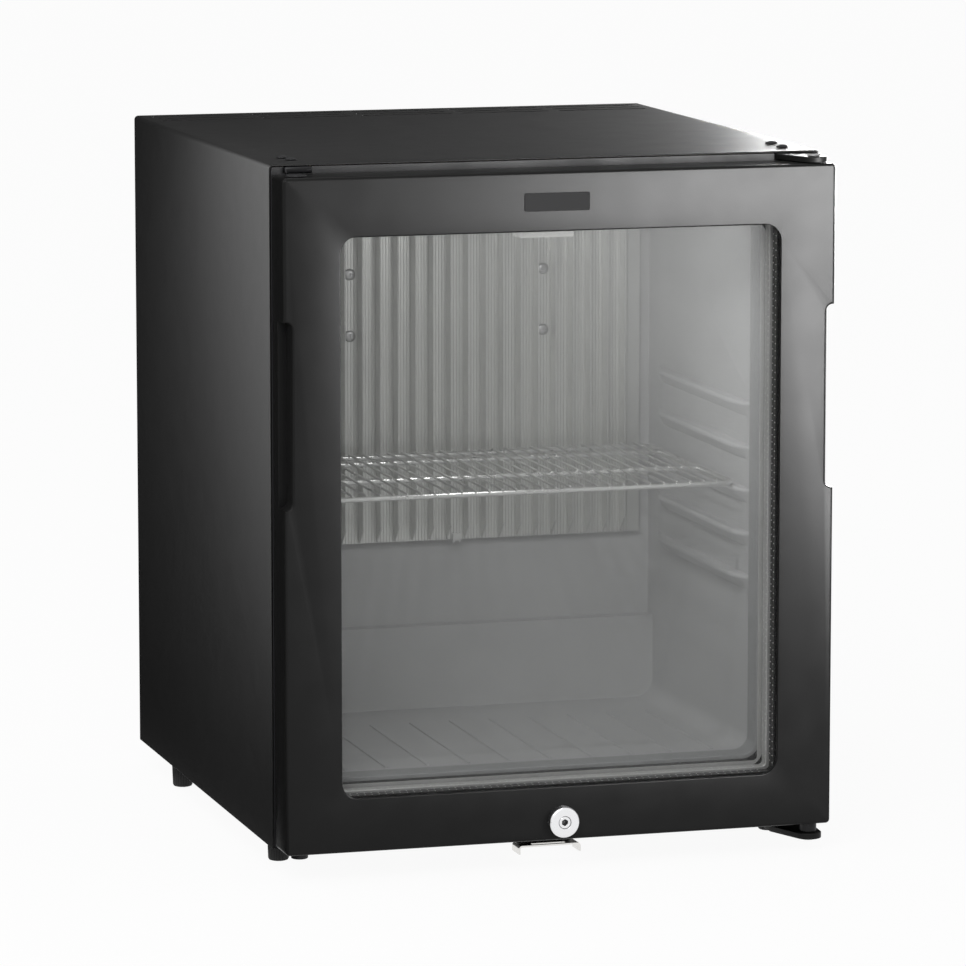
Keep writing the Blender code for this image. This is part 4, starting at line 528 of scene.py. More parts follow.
def loft(shape, loops, closed=False):
    """Skins the loops one after another and caps the ends, or joins the last loop to the first."""
    rings = [[shape.verts.new(point) for point in loop] for loop in loops]
    pairs = list(zip(rings, rings[1:]))
    if closed:
        pairs.append((rings[-1], rings[0]))
    for first, second in pairs:
        for i in range(len(first)):
            j = (i + 1) % len(first)
            shape.faces.new((first[i], first[j], second[j], second[i]))
    if not closed:
        shape.faces.new(rings[0])
        shape.faces.new(rings[-1][::-1])
    return shape


def prism(outline, axis, start, end, shape=None):
    """An outline pushed along an axis."""
    loops = [[at(axis, u, v, along) for u, v in outline] for along in (start, end)]
    return loft(shape or bmesh.new(), loops)


def box(low, high, shape=None):
    outline = ((low[0], low[1]), (high[0], low[1]), (high[0], high[1]), (low[0], high[1]))
    return prism(outline, "z", low[2], high[2], shape)


def turned(profile, axis, centre, steps=48, hollow=False, shape=None, start=0.0):
    """A profile of (radius, along) points turned about an axis, with along measured from a start.

    A hollow one is a closed ring.
    """
    loops = []
    for radius, along in profile:
        loops.append([at(axis, u, v, start + along) for u, v in circle(centre, radius, steps)])
    return loft(shape or bmesh.new(), loops, hollow)


def swept_frame(profile, rect, radius, steps=8):
    """A profile of (offset outwards, y) points swept round a rounded rectangle in the XZ plane."""
    loops = []
    for offset, y in profile:
        loops.append([(x, y, z) for x, z in grown(rect, offset, radius + offset, steps)])
    return loft(bmesh.new(), loops, closed=True)


def pipe(points, radius, sides=16, shape=None, closed=False):
    """A round bar or tube along points, with its section carried along without twist."""
    points = [Vector(point) for point in points]
    last = len(points) - 1
    loops = []
    across = None
    for i, point in enumerate(points):
        before = points[i - 1] if i or closed else point
        after = points[(i + 1) % (last + 1)] if i < last or closed else point
        along = (after - before).normalized()
        across = along.orthogonal() if across is None else across
        across = (across - along * across.dot(along)).normalized()
        up = along.cross(across)
        loops.append([point + across * u + up * v for u, v in circle((0, 0), radius, sides)])
    return loft(shape or bmesh.new(), loops, closed)


def bars(axis, places, radius, start, end, steps=24):
    """Round bars side by side, as a cutter for a row of holes."""
    shape = bmesh.new()
    for place in places:
        turned([(radius, start), (radius, end)], axis, place, steps, shape=shape)
    return shape


def pan_head(axis, centre, seat, radius, height, steps=20, shape=None):
    """A low domed head that stands on a seat, towards +axis for a positive height."""
    domed = ((0.4, 1), (0.75, 0.92), (0.93, 0.7), (1, 0.35), (1, 0))
    profile = [(radius * u, height * v) for u, v in domed]
    return turned(profile, axis, centre, steps, shape=shape, start=seat)


def shade(mesh, smooth=30):
    mesh.shade_smooth()
    mesh.set_sharp_from_angle(angle=math.radians(smooth))


def shape_of(mesh, merged=False):
    """A mesh's shape in the cabinet's own frame, with the triangles of each flat face merged if asked."""
    shape = bmesh.new()
    shape.from_mesh(mesh)
    if merged:
        bmesh.ops.remove_doubles(shape, verts=shape.verts, dist=0.000002)
        edges = [edge for edge in shape.edges if edge.is_manifold]
        bmesh.ops.dissolve_limit(shape, verts=shape.verts, edges=edges, angle_limit=math.radians(2))
    bmesh.ops.translate(shape, verts=shape.verts, vec=(0, -FRONT, 0))
    return shape


def settle(shape, mesh, smooth=30):
    """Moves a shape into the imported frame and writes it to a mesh."""
    bmesh.ops.translate(shape, verts=shape.verts, vec=(0, FRONT, 0))
    bmesh.ops.recalc_face_normals(shape, faces=shape.faces)
    shape.to_mesh(mesh)
    shape.free()
    shade(mesh, smooth)
    return mesh


def linked(name, data):
    """A new object in the scene."""
    obj = bpy.data.objects.new(name, data)
    bpy.context.collection.objects.link(obj)
    return obj


def piece(name, shape, slot, node=None, body="cabinet", bevel=0.0, segments=2, smooth=30, finish=None):
    """A piece from a shape drawn in the cabinet's own frame, riding on a body, in place of a CAD node."""
    mesh = settle(shape, bpy.data.meshes.new(name), smooth)
    mesh.materials.append(finishes[finish or slot])
    obj = linked(name, mesh)
    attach(obj, body)
    if node:
        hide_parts(node)
    if bevel:
        round_edges(obj, bevel, segments)
    return obj


def dressed(node, name, slot, bevel, segments=3, body="cabinet"):
    """A CAD node's own shape with its edges rounded."""
    shape = shape_of(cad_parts[node].data, merged=True)
    return piece(name, shape, slot, node, body, bevel, segments)


def round_edges(obj, width, segments=2, angle=35):
    modifier = obj.modifiers.new("rounding", "BEVEL")
    modifier.width = width
    modifier.segments = segments
    modifier.limit_method = "ANGLE"
    modifier.angle_limit = math.radians(angle)
    modifier.harden_normals = True


def carve(obj, shape, operation="DIFFERENCE"):
    """Cuts a shape out of a piece, joins it on or crosses it with it, and keeps the result as its mesh."""
    tool = linked("tool", settle(shape, bpy.data.meshes.new("tool")))
    modifier = obj.modifiers.new("carving", "BOOLEAN")
    modifier.operation = operation
    modifier.solver = "EXACT"
    modifier.object = tool
    bpy.context.view_layer.update()
    evaluated = obj.evaluated_get(bpy.context.evaluated_depsgraph_get())
    result = bpy.data.meshes.new_from_object(evaluated)
    obj.modifiers.remove(modifier)
    result.materials.clear()
    result.materials.append(obj.data.materials[0])
    obj.data = result
    bpy.data.objects.remove(tool)
    if not result.polygons:
        raise RuntimeError(f"{obj.name}: nothing is left of it after carving")
    shade(result)
    return obj


def bevel_chosen(obj, chosen, width, segments):
    """Rounds the edges for which chosen(edge) holds, in the cabinet's own frame."""
    shape = shape_of(obj.data)
    shape.normal_update()
    edges = [edge for edge in shape.edges if len(edge.link_faces) == 2 and chosen(edge)]
    if not edges:
        raise RuntimeError(f"{obj.name}: no edge to round")
    settings = dict(offset_type="OFFSET", profile=0.5, affect="EDGES", clamp_overlap=True)
    bmesh.ops.bevel(shape, geom=edges, offset=width, segments=segments, **settings)
    settle(shape, obj.data)


def screw_heads(name, places, seat, radius, height):
    """The heads of a sheet's screws, as one piece."""
    heads = bmesh.new()
    for place in places:
        pan_head("y", place, seat, radius, height, shape=heads)
    piece(name, heads, "zinc")


def cross_recess(obj, axis, centre, width, reach, start, end):
    """The cross that a screwdriver turns a screw by."""
    u, v = centre
    for du, dv in ((reach, width / 2), (width / 2, reach)):
        outline = rounded_rect(u - du, u + du, v - dv, v + dv, width / 3, 2)
        carve(obj, prism(outline, axis, start, end))


def build_wrap(sizes):
    """One sheet folded over the top and down both sides, with the air slots punched over the rear bay."""
    radius, sheet = sizes.fold_radius, sizes.sheet
    inner = radius - sheet
    left, right = (radius - HALF_WIDTH, HEIGHT - radius), (HALF_WIDTH - radius, HEIGHT - radius)
    outline = [(-HALF_WIDTH, BASE_HEIGHT)]
    outline += arc(left, radius, 180, 90, 10) + arc(right, radius, 90, 0, 10)
    outline += [(HALF_WIDTH, BASE_HEIGHT), (HALF_WIDTH - sheet, BASE_HEIGHT)]
    outline += arc(right, inner, 0, 90, 10) + arc(left, inner, 90, 180, 10)
    outline += [(sheet - HALF_WIDTH, BASE_HEIGHT)]
    wrap = piece("wrap", prism(outline, "y", 0, DEPTH), "painted_steel", "outer_shell")
    through = (HEIGHT - 3 * sheet, HEIGHT + sheet)
    slots = bmesh.new()
    columns, rows, rear = 5, 3, DEPTH - 0.015
    span = 2 * (HALF_WIDTH - 0.011)
    pitch = (span + sizes.vent_divider) / columns
    half = sizes.vent_width / 2
    for column in range(columns):
        start = -span / 2 + column * pitch
        for row in range(rows):
            y = rear - row * sizes.vent_pitch
            end = start + pitch - sizes.vent_divider
            prism(rounded_rect(start, end, y - half, y + half, half * 0.9, 5), "z", *through, slots)
    carve(wrap, slots)
    carve(wrap, bars("z", BOLT_PLACES + BLANK_PLACES, BOLT_HOLE, *through))
    round_edges(wrap, 0.00035)


def build_mouth():
    """The black plate round the mouth, and the trim that lines its edge, of the pale liner plastic painted
    darker as shade.
    """
    corner = 0.002
    outline = rounded_rect(-INSIDE_HALF, INSIDE_HALF, INSIDE_FLOOR - 2 * corner, INSIDE_TOP, corner, 4)
    plate = piece("mouth_plate", prism(outline, "y", 0, 0.0025), "frame_plastic", "front_frame")
    carve(plate, box((-1, -1, 0), (1, 1, INSIDE_FLOOR)))
    front, back = -0.01, 0.03
    carve(plate, prism(grown(LINER, -GAP, LINER_RADIUS - GAP), "y", front, back))
    hinge_slot, blank_slot = (HINGE_X - 0.0203, HALF_WIDTH), (-0.1903, -0.1707)
    slots = bmesh.new()
    for left, right in (hinge_slot, blank_slot):
        box((left, front, DOOR_TOP), (right, back, HEIGHT), slots)
    carve(plate, slots)
    round_edges(plate, 0.0005, 3)

    inner, outer, back, soft, chamfer = -0.0035, -0.0004, FRAME_DEPTH, 0.0011, 0.0004
    profile = [(outer, 0), *arc((inner + soft, soft), soft, 270, 180, 6)]
    profile += [(inner, back - chamfer), (inner + chamfer, back), (outer, back)]
    trim = swept_frame(profile, LINER, LINER_RADIUS)
    # The trim takes the darker copy of the liner's plastic: painted shade on the band round the mouth.
    piece("mouth_trim", trim, "liner_plastic", smooth=40, finish="liner_lip")


def compartment(offset, front):
    """The inside of the liner grown by an offset: the rounded mouth and the stepped side to cross it with."""
    across = grown(LINER, offset, LINER_RADIUS + offset)
    back, shelf, bend = LINER_DEPTH + offset, 0.126 - offset, 0.008 + offset
    step, low, high = back - 0.012, LINER_FLOOR - 0.01, LINER_TOP + 0.01
    side = [(front, low), (step, low), (step, shelf), (back, shelf)]
    side += arc((back - bend, LINER_TOP + offset - bend), bend, 0, 90, 6)
    side += [(back - bend, high), (front, high)]
    return prism(across, "y", front, back + 0.01), prism(side, "x", -HALF_WIDTH, HALF_WIDTH)


def build_liner(sizes):
    """A thin tub with a stepped back, and the ledges and ribs moulded on its inside."""
    wall = 0.0015

    def tub(name, offset, front, node=None):
        body, crossing = compartment(offset, front)
        return carve(piece(name, body, "liner_plastic", node), crossing, "INTERSECT")

    def meets_back(edge):
        first, second = (face.normal for face in edge.link_faces)
        deep = min(vert.co.y for vert in edge.verts) >= 0.2
        return deep and min(first.y, second.y) < -0.99 and abs(first.dot(second)) < 0.3

    liner = tub("liner_tub", wall, LINER_FRONT, "inner_liner")
    cavity = tub("liner_cavity", 0, LINER_FRONT - wall)
    carve(liner, shape_of(cavity.data))
    bpy.data.objects.remove(cavity)
    bevel_chosen(liner, meets_back, sizes.back_rounding, 4)
    carve(liner, ledge_shapes(sizes), "UNION")
    carve(liner, floor_rib_shapes(), "UNION")
    round_edges(liner, sizes.edge_rounding, 3)


def ledge_shapes(sizes):
    """Shelf ledges up both walls: flat on top, round at the tip, sloped underneath, with faded ends."""
    shapes = bmesh.new()
    front, back, ramp, steps = 0.016, 0.243, 0.034, 6
    sunk, lowest, thick = 0.0003, LINER_FLOOR + 0.1285, 0.0125
    root, start = LINER_HALF + 0.00075, LINER_HALF + sunk
    swell = [(i / steps, (i / steps) ** 2 * (3 - 2 * i / steps)) for i in range(steps + 1)]
    sections = [(front + ramp * t, share) for t, share in swell]
    sections += [(back - ramp * t, share) for t, share in reversed(swell)]
    for side in (-1, 1):
        for row in range(5):
            top = lowest + row * sizes.ledge_pitch
            loops = []
            for y, share in sections:
                tip = start - (sizes.ledge_reach + sunk) * share
                soft = min(0.0022, 0.8 * (root - tip))
                nose = arc((tip + soft, top - soft), soft, 90, 215, 8)
                loops.append([(side * x, y, z) for x, z in [(root, top), *nose, (root, top - thick)]])
            loft(shapes, loops)
    return shapes


def floor_rib_shapes():
    shapes = bmesh.new()
    ribs, pitch, foot, crown = 10, 0.0305, 0.0015, 0.00075
    low, high = LINER_FLOOR - 0.00075, LINER_FLOOR + 0.001
    for i in range(ribs):
        x = (i - (ribs - 1) / 2) * pitch
        outline = ((x - foot, low), (x + foot, low), (x + crown, high), (x - crown, high))
        prism(outline, "y", 0.040, 0.195, shapes)
    return shapes


def build_rear_panel():
    """The flat sheet that closes the foam, with the screws that hold it."""
    dressed("rear_panel", "rear_sheet", "galvanised", 0.0003, 2)
    places = [(x, z) for x in (-0.192, 0.0, 0.192) for z in (0.040, 0.140, 0.290, 0.480)]
    screw_heads("rear_panel_screws", places, 0.311, 0.0035, 0.0016)


def build_cold_plate(sizes):
    """The extruded plate with its fins, cut back at 45 degrees underneath, and fine ridges between them."""
    half, sheet = 0.151, 0.0015
    low, high = 0.190, 0.435
    back, front = LINER_DEPTH - GAP, COLD_PLATE_FRONT
    inner = half - sheet
    step = sizes.fin_pitch / sizes.ridges
    outline = [(half, back), (half, front)]
    for i in range(sizes.fins * sizes.ridges):
        x = (sizes.fins / 2) * sizes.fin_pitch - (i + 0.5) * step
        ridge = ((0.30, 0), (0.12, sizes.ridge_height), (-0.12, sizes.ridge_height), (-0.30, 0))
        outline += [(x + step * u, front - v) for u, v in ridge]
    outline += [(-half, front), (-half, back), (-inner, back), (-inner, front + sheet)]
    outline += [(inner, front + sheet), (inner, back)]
    shape = prism(outline, "z", low, high)
    edge = sizes.fin_sheet / 2
    root, tip = front + 0.0005, front - sizes.fin_depth + edge
    for i in range(sizes.fins):
        x = (i - (sizes.fins - 1) / 2) * sizes.fin_pitch
        fin = [(x - edge, root), (x - edge, tip), *arc((x, tip), edge, 180, 360, 6), (x + edge, root)]
        cut = [(u, v, low + max(0.0, front - v)) for u, v in fin]
        loft(shape, [cut, [(u, v, high) for u, v in fin]])
    piece("cold_plate", shape, "evaporator_aluminium", "evaporator_plate", smooth=28)


def build_plate_screws():
    seat, rise = COLD_PLATE_FRONT - GAP, 0.002
    for i, place in enumerate(PLATE_SCREW_PLACES, 1):
        screw = pan_head("y", place, seat, 0.0043, -rise, 32)
        screw = piece(f"plate_screw_{i}", screw, "zinc", f"evaporator_screw_{i}")
        cross_recess(screw, "y", place, 0.0008, 0.0019, seat - rise - 0.001, seat - rise + 0.0011)
        round_edges(screw, 0.00012, 1)


def build_clip():
    """The clip that holds the probe against the foot of the cold plate."""
    clip = box((0.0038, 0.2527, 0.1878), (0.0098, 0.2562, 0.1945))
    clip = piece("sensor_clip", clip, "white_plastic", "probe_clip")
    carve(clip, prism(rounded_rect(0.0054, 0.0082, 0.185, 0.1895, 0.0012, 4), "y", 0.24, 0.26))
    round_edges(clip, 0.0009, 3)


def build_lamp():
    """A shallow lamp under the top of the mouth, of which the door's window shows the lens alone."""
    low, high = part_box("lamp_housing")
    front, back, seat = low.y - FRONT, high.y - FRONT, LAMP_LOW + 0.0042
    body = box((low.x, front, seat + 0.0002), (high.x, back, high.z))
    piece("lamp_body", body, "white_plastic", "lamp_housing", bevel=0.0012, segments=4)
    lens = box((low.x, front, LAMP_LOW), (high.x, back, seat))
    piece("lamp_window", lens, "lamp_lens", "lamp_lens", bevel=0.0011, segments=4)


def bracket_outline(back):
    """A hinge bracket from above: a tongue that narrows to a round nose about the pin."""
    inner, outer = HINGE_X - 0.020, 0.1994
    return [(outer, back), (inner, back), (inner, 0), *arc(HINGE, 0.0095, 200, 350, 20), (outer, 0)]


def dome(centre, seat, radius, height, foot):
    """A smooth round cap on a seat, with its shank going down to a foot."""
    shank, brim = radius * 0.46, 0.12
    profile = [(shank, foot), (shank, seat), (radius * 0.97, seat), (radius, seat + height * brim)]
    crown = arc((0, 0), 1, 8, 78, 8)
    profile += [(radius * u, seat + height * (brim + (1 - brim) * v)) for u, v in crown]
    return turned(profile, "z", centre, 32)


def hinge_pin(side, profile):
    piece(f"hinge_pin_{side}", turned(profile, "z", HINGE, 32), "zinc", f"{side}_hinge_pin", smooth=45)


def build_upper_hinge():
    """A flat bracket that comes out from under the wrap, with its pin."""
    shape = prism(bracket_outline(0.065), "z", 0.4943, 0.4984)
    bracket = piece("hinge_plate_upper", shape, "painted_steel", "upper_hinge_bracket")
    through = (0.49, 0.5)
    carve(bracket, bars("z", [HINGE], PIN_HOLE, *through, 32))
    carve(bracket, bars("z", BOLT_PLACES, BOLT_HOLE, *through))
    round_edges(bracket, BRACKET_ROUNDING, 3)
    profile = [(0.0021, 0.481), (0.003, 0.4819), (0.003, 0.4987), (0.0043, 0.4987), (0.0045, 0.4990)]
    profile += [(0.0045, 0.4994), (0.0041, 0.4998), (0.0032, 0.4999), (0.0010, 0.4999)]
    hinge_pin("upper", profile)


def build_caps():
    """The upper hinge's bolts, and the caps and cover of the side that isn't used."""
    names = ("upper_hinge_bolt_1", "upper_hinge_bolt_2", "blank_cap_1", "blank_cap_2")
    for place, node in zip(BOLT_PLACES + BLANK_PLACES, names):
        cap = dome(place, HEIGHT + GAP, 0.0043, 0.002, HEIGHT - 0.012)
        piece(node + "_head", cap, "black_plastic", node, smooth=50)
    dressed("hinge_slot_blank", "slot_cover", "black_plastic", 0.0008)


def build_lower_hinge():
    """A bracket under the base, stepped down towards its front, with its pin."""
    nose, low, top, step, end = -0.060, 0.0091, 0.0135, 0.0165, 0.039
    outline = [(nose, low, 0), (0.0142, low, 0.003), (0.0164, 0.0113, 0.003), (0.0164, step, 0)]
    outline += [(end, step, 0), (end, SEAT, 0), (0.012, SEAT, 0.002), (0.012, top, 0.0008), (nose, top, 0)]
    shape = prism(softened(outline), "x", 0, 0.3)
    bracket = piece("hinge_plate_lower", shape, "painted_steel", "lower_hinge_bracket")
    carve(bracket, prism(bracket_outline(0.038), "z", 0, BASE_HEIGHT), "INTERSECT")
    carve(bracket, bars("z", [HINGE], PIN_HOLE, 0, 0.0145, 32))
    round_edges(bracket, BRACKET_ROUNDING, 3)
    profile = [(0.0010, 0.0076), (0.0033, 0.0076), (0.0042, 0.0078), (0.0045, 0.0082), (0.0045, 0.0088)]
    hinge_pin("lower", profile + [(0.003, 0.0088), (0.003, 0.0331), (0.0021, 0.034)])


def build_keeper():
    """A bright plated channel with turned-down sides and the cam's slot, on a tongue screwed to the base."""
    top, sheet, bend = 0.0118, 0.0012, 0.0026
    half, foot = 0.023, 0.0056
    inner, under, tight = half - sheet, top - sheet, bend - sheet
    outside = [(-half, foot, 0), (-half, top, bend), (half, top, bend), (half, foot, 0)]
    inside = [(inner, foot, 0), (inner, under, tight), (-inner, under, tight), (-inner, foot, 0)]
    channel = prism(softened(outside + inside, 8), "y", -0.008, 0.0088)
    keeper = piece("keeper_channel", channel, "keeper_steel", "lock_keeper")
    low, end, seat = 0.002, 0.031, SEAT - sheet
    side = [(low, under, 0), (0.010, under, 0.0022), (0.015, seat, 0.001), (end, seat, 0)]
    side += [(end, SEAT, 0), (0.0138, SEAT, 0.0022), (0.0088, top, 0.001), (low, top, 0)]
    carve(keeper, prism(softened(side), "x", bend - half, half - bend), "UNION")
    carve(keeper, prism(rounded_rect(-0.0125, 0.0125, -0.0056, -0.0016, 0.001, 4), "z", 0.008, 0.014))
    carve(keeper, bars("z", KEEPER_SCREW_PLACES, BOLT_HOLE, 0.01, 0.02))
    round_edges(keeper, 0.00025)
    for name, place in zip(("left", "right"), KEEPER_SCREW_PLACES):
        head = pan_head("z", place, seat - 0.0001, 0.0036, -0.0018, 32)
        turned([(0.002, seat - 0.0002), (0.002, 0.0265)], "z", place, 16, shape=head)
        screw = piece(f"keeper_screw_{name}", head, "zinc")
        cross_recess(screw, "z", place, 0.0008, 0.0017, seat - 0.003, seat - 0.0008)


def build_door_moulding(sizes):
    """One moulding: rounded outside, a rounded window lip, the rebate for the glazing and its back frame."""
    front, back, rebate = DOOR_FRONT, DOOR_BACK, RETAINER_FRONT - GAP
    corner, soft, lip = sizes.corner_radius, 0.0015, front + 0.0025
    pane_rebate, frame_rebate = (0.0063, 0.0033), (0.0148, 0.0268)
    rings = [
        (grown(DOOR, -inset, corner - inset), front + depth) for inset, depth in quarter(sizes.edge_radius, 7)
    ]
    rings += [
        (grown(WINDOW, offset, WINDOW_RADIUS + offset), front + depth)
        for depth, offset in quarter(sizes.lip_radius, 6)
    ]
    rings.append((grown(WINDOW, 0, WINDOW_RADIUS), lip))
    rings += [(grown(WINDOW, *pane_rebate), y) for y in (lip, rebate)]
    rings += [(grown(WINDOW, *frame_rebate), y) for y in (rebate, back)]
    rings += [(grown(DOOR, -inset, corner - inset), back - depth) for depth, inset in quarter(soft, 5)]
    shape = loft(bmesh.new(), [[(x, y, z) for x, z in outline] for outline, y in rings], closed=True)
    door = piece("door_moulding", shape, "door_plastic", "door_front_frame", "door")
    carve(door, grip_shapes(sizes))
    carve(door, hinge_bore_shapes())
    over, lock_bore, nut_bore, nut_seat = 0.001, 0.0080, 0.0125, -0.0112
    bore = [(lock_bore, front - over), (lock_bore, nut_seat), (nut_bore, nut_seat), (nut_bore, back + over)]
    carve(door, turned(bore, "y", (0, LOCK_Z)))
    recess = grown(PLATE, 0.0003, 0.0013, 4)
    carve(door, prism(recess, "y", front - over, front + 0.0006))
    round_edges(door, 0.0004, angle=45)


def grip_shapes(sizes):
    """The grips cut into both sides of the door, wider where they meet its front."""
    shapes = bmesh.new()
    low, high, bend, deep = 0.264, 0.3945, 0.005, 0.017
    depths = [(-0.003, sizes.grip_rounding), *quarter(sizes.grip_rounding, 6), (deep, 0.0)]
    for side in (-1, 1):
        inner, outer = sorted(side * (DOOR_HALF + reach) for reach in (-sizes.grip_depth, sizes.grip_depth))
        sections = []
        for depth, offset in depths:
            outline = grown((inner, outer, low, high), offset, bend + offset, 5)
            sections.append([(x, DOOR_FRONT + depth, z) for x, z in outline])
        loft(shapes, sections)
    return shapes


def hinge_bore_shapes():
    """The bores for bushes and plugs, in the bottom and top of both sides."""
    shapes, radius, over = bmesh.new(), 0.0053, 0.001
    for x in (-HINGE_X, HINGE_X):
        for low, high in ((DOOR_BOTTOM - over, 0.0371), (0.4779, DOOR_TOP + over)):
            turned([(radius, low), (radius, high)], "z", (x, HINGE_Y), 32, shape=shapes)
    return shapes


def build_spacers(sizes):
    """The spacers between the panes, with their punched holes, which glow with the lamp lens's finish as a
    painted glint.
    """
    wide, soft = sizes.spacer_width, 0.0004
    for side, start, end, inset in (("outer", -0.0309, -0.0219, 0.001), ("inner", -0.0183, -0.0093, 0.002)):
        left, right, low, high = WINDOW
        rect = (left + inset, right - inset, low + inset, high - inset)
        profile = [(0, start + soft), (soft, start), (wide - soft, start), (wide, start + soft)]
        profile += [(wide, end - soft), (wide - soft, end), (soft, end), (0, end - soft)]
        bar = swept_frame(profile, rect, 0.003, 4)
        piece(side + "_bar", bar, side + "_spacer", side + "_spacer", "door")
        holes = bmesh.new()
        for row, shift in ((-0.0027, 0.0), (0.0027, 0.15)):
            run_of_holes(holes, sizes, (start + end) / 2 + row, shift, rect)
        # The holes glow with the lamp lens's finish: painted glints, though they are no lamp.
        piece(side + "_bar_holes", holes, "white_plastic", body="door", finish="lamp_lens")


def run_of_holes(shape, sizes, y, shift, rect):
    """A row of punched holes round the inside of a spacer, each a shallow disc that carries a painted glint.
    """
    left, right, low, high = rect
    radius, pitch, lift, margin = sizes.hole_radius, sizes.hole_pitch, 0.00003, 0.008
    for axis, wall, inward, start, end in (
        ("x", left, 1, low, high),
        ("x", right, -1, low, high),
        ("z", low, 1, left, right),
        ("z", high, -1, left, right),
    ):
        holes = int((end - start - margin) / pitch)
        first = (start + end) / 2 - pitch * (holes - 1) / 2 + (shift - 0.25) * pitch
        for i in range(holes):
            along = first + i * pitch
            rings = []
            for place, reach in ((wall, radius), (wall + inward * lift, radius * 0.8)):
                outline = [(y + reach * u, along + 0.65 * reach * v) for u, v in circle((0, 0), 1, 8)]
                rings.append([(place, u, v) if axis == "x" else (v, u, place) for u, v in outline])
            loft(shape, rings)


def build_back_frame():
    """The bead round the inner pane, and the frame that holds the glazing from behind."""
    start, end = RETAINER_FRONT + 0.0001, RETAINER_BACK
    inner, outer, soft = -0.004, -0.0001, 0.0003
    profile = [(inner, start), (outer, start), (outer, end), (inner + soft, end), (inner, end - soft)]
    bead = swept_frame(profile, WINDOW, WINDOW_RADIUS - 0.005)
    piece("pane_bead", bead, "white_plastic", body="door", finish="pane_bead")
    wide, start, soft = 0.0145, RETAINER_FRONT, 0.0005
    profile = [(0, start), (wide, start), (wide, end - soft), (wide - soft, end)]
    profile += [(soft, end), (0, end - soft)]
    retainer = swept_frame(profile, WINDOW, WINDOW_RADIUS)
    piece("back_frame", retainer, "back_frame_plastic", "door_back_frame", "door")


def build_seal():
    """The door's seal, a pleated strip round the window."""
    inner, outer, front, height, waist = 0.002, 0.014, -0.0042, 0.0039, 0.002
    pleats = ((0, 0.15), (0.7, 0.28), (1, 0.45), (0.5, 0.62), (0.2, 0.75), (0.25, 0.92), (0.5, 1))
    profile = [(inner, front), (outer, front)]
    profile += [(outer - waist * u, front + height * v) for u, v in pleats]
    profile += [(inner + waist * u, front + height * v) for u, v in reversed(pleats)]
    seal = swept_frame(profile, WINDOW, WINDOW_RADIUS)
    piece("seal_gasket", seal, "seal_rubber", "door_seal", "door", smooth=50)


def build_door_fittings():
    """Bushes and plugs of the hinge bores, and the bare plate in its recess."""
    inside, bore, flange, deep = PIN_HOLE, 0.005, 0.006, 0.0155
    top, bottom = DOOR_TOP - GAP, DOOR_BOTTOM - GAP
    sleeve = turned([(inside, -deep), (bore, -deep), (bore, 0), (inside, 0)], "z", HINGE, 32, True, start=top)
    piece("bush_upper", sleeve, "black_plastic", "door_bush_upper", "door", 0.0003)
    low = 0.0138
    profile = [(inside, low), (0.0055, low), (flange, low + 0.0005), (flange, bottom), (bore, bottom)]
    profile += [(bore, bottom + deep), (inside, bottom + deep)]
    piece("bush_lower", turned(profile, "z", HINGE, 32, True), "black_plastic", "door_bush_lower", "door")
    seat = DOOR_TOP + GAP
    upper = [(0.004, top - deep), (bore, top - 0.0124), (bore, seat), (0.0073, seat), (0.0075, seat + 0.0002)]
    upper += [(0.0075, seat + 0.0006), (0.0072, seat + 0.0010), (0.0064, seat + 0.0012)]
    upper += [(0.0030, seat + 0.0012), (0.0022, seat + 0.0009)]
    lower = [(0.0030, bottom - 0.0037), (0.0052, bottom - 0.0037), (0.0058, bottom - 0.0034)]
    lower += [(flange, bottom - 0.0028), (flange, bottom), (bore, bottom), (bore, bottom + 0.0124)]
    lower += [(0.004, bottom + deep)]
    for side, profile in (("upper", upper), ("lower", lower)):
        plug = turned(profile, "z", (-HINGE_X, HINGE_Y), 40)
        piece("plug_" + side, plug, "black_plastic", "door_plug_" + side, "door", smooth=40)
    plate = prism(grown(PLATE, 0, 0.001, 4), "y", -0.0376, -0.0367)
    piece("bare_plate", plate, "badge", "badge_plate", "door", 0.00025)


def build_lock():
    """The chromed housing and its nut ride on the door, the plug with its socket and the cam on the lock."""
    centre = (0, LOCK_Z)
    front, seat, back = LOCK_FRONT, DOOR_FRONT - GAP, -0.0066
    inside, outside, edge = 0.0046, 0.011, 0.002
    profile = [(inside + 0.0003, front), (0.0082, front), (0.0090, front)]
    profile += [(outside - edge + u, front + edge - v) for u, v in arc((0, 0), edge, 82, 0, 7)]
    profile += [(outside, seat), (0.0077, seat), (0.0077, back), (inside, back), (inside, front + 0.0003)]
    housing = turned(profile, "y", centre, 64, True)
    piece("lock_barrel", housing, "chrome", "lock_housing", "door", smooth=25)
    dressed("lock_nut", "lock_ring_nut", "zinc", 0.0005, body="door")

    def socket(radius, start, end):
        return prism(arc(centre, radius, 30, 330, 5), "y", front + start, front + end)

    plug = turned([(0.0040, front + GAP), (0.0043, front + 0.0006), (0.0043, back)], "y", centre)
    plug = piece("key_plug", plug, "chrome", "lock_plug", "lock")
    half = 0.0025
    carve(plug, box((-half, -0.009, LOCK_Z - half), (half, -0.0029, LOCK_Z + half)), "UNION")
    carve(plug, socket(0.0025, -0.001, 0.004))
    round_edges(plug, 0.00018)
    sleeve = piece("key_sleeve", socket(0.00245, 0.0005, 0.0039), "black_plastic", body="lock")
    carve(sleeve, socket(0.0014, 0, 0.005))
    dressed("lock_cam", "cam_lever", "zinc", 0.0004, body="lock")
    screw = pan_head("y", centre, -0.0023, 0.003, 0.0012, 32)
    screw = piece("cam_fixing_screw", screw, "zinc", "cam_screw", "lock")
    cross_recess(screw, "y", centre, 0.0007, 0.0015, -0.0017, 0.0)


